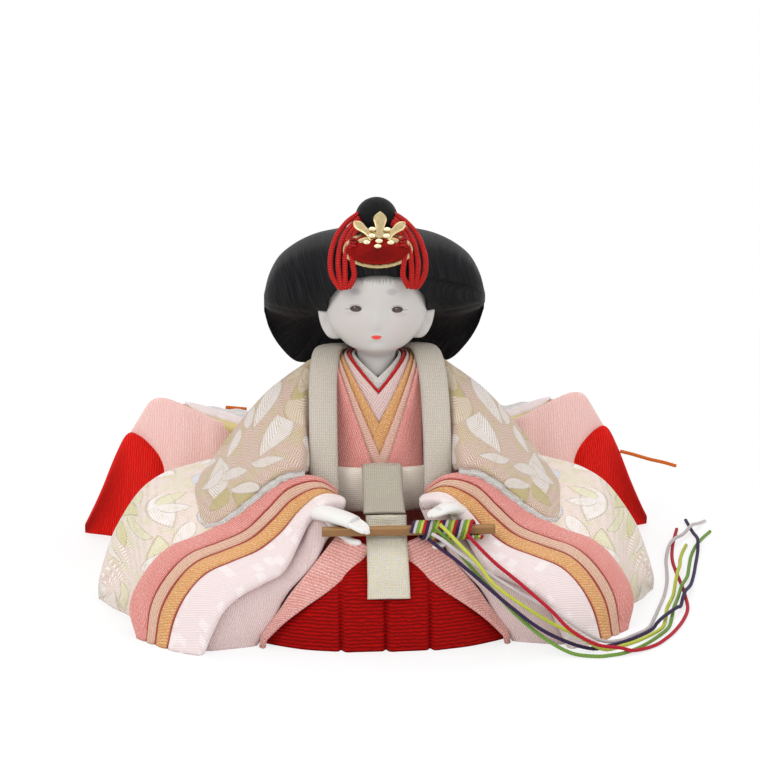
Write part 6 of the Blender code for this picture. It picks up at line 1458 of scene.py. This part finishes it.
def cushion():
    """The pad: a flattened ball, half sunk into the plate and leaned back with it."""
    pad = ball((0, 0, 0), 1.0, 1.0) * PAD_HALF
    cosine, sine = math.cos(CROWN_LEAN), math.sin(CROWN_LEAN)
    up = pad[..., 2] + PAD_RISE
    return np.stack([pad[..., 0], pad[..., 1] * cosine - up * sine,
                     pad[..., 1] * sine + up * cosine], -1) + CROWN_MIDDLE


def arm(start, end, widths, count=60, around=28):
    """One arm of the crest: a flat oval bar, square to the plane that leans back with the
    crest, whose half width follows its list and whose face is crowned."""
    run = np.linspace(0, 1, count)[:, None]
    path = np.asarray(start) + (np.asarray(end) - np.asarray(start)) * run
    half = smooth(np.asarray(widths, float), count)[:, None]
    half = half * np.sqrt(np.clip(1 - ((run - 0.5) * 2) ** 16, 0.05, 1))
    turn = circle(around)
    wide = half * bulge(np.cos(turn), 0.7)
    thick = CREST_THICKNESS / 2 * bulge(np.sin(turn), 0.6)
    profile = np.stack([wide, np.broadcast_to(thick, wide.shape)], -1)
    return sweep(path, profile, CREST_SIDEWAYS)


gilding = gilt("gilding", (0.52, 0.41, 0.22))
bead_gilding = gilt("bead_gilding", (0.90, 0.78, 0.52))
finish_node("crown_plate", gilding)
put("crest", [arm(*shape) for shape in CREST_ARMS], gilding, "head", ["crown_comb"])
bead = ball((0, 0, 0), 1.0, 1.0, 20, 28) * BEAD_SIZE
put("crest_beads", [bead + middle for middle in CREST_BEADS], bead_gilding, "head", [])
pad_silk = crepe("pad_silk", (0.36, 0.003, 0.003), (0.62, 0.03, 0.02), rib=0.7, flecks=0.7,
                 groove_shade=0.5, sheen=0.0)
put("crown_cushion", [cushion()], pad_silk, "head", ["crown_pad"])
silks["scarlet"] = cord_silk("silk_scarlet", (0.72, 0.014, 0.011), HAIR_CORD_PITCH,
                             HAIR_CORD_DIAMETER * math.pi, HAIR_CORD_DIAMETER / 2)
for label, side in SIDES:
    strands = []
    for strand in HAIR_CORD_STRANDS:
        path = even(smooth(strand, 80) * (side, 1, 1), HAIR_CORD_STEP)
        strands.append(sweep(path, plied(path, HAIR_CORD_DIAMETER, HAIR_CORD_PITCH, 4, 24),
                             (0, 1, 0)))
    put("hair_ribbon_cord_" + label, strands, silks["scarlet"], "head",
        ["hair_cord_" + label])
    turn = np.linspace(0, 1, 160)
    angle = 2 * np.pi * KNOT_TURNS * turn
    coil = np.stack([KNOT_RADIUS * np.cos(angle), KNOT_RADIUS * np.sin(angle),
                     KNOT_HEIGHT * (turn - 0.5)], 1) + KNOT_MIDDLE
    path = coil * (side, 1, 1)
    put("crown_knot_" + label, [sweep(path, plied(path, KNOT_CORD, KNOT_LAY))],
        silks["scarlet"], "head", [])
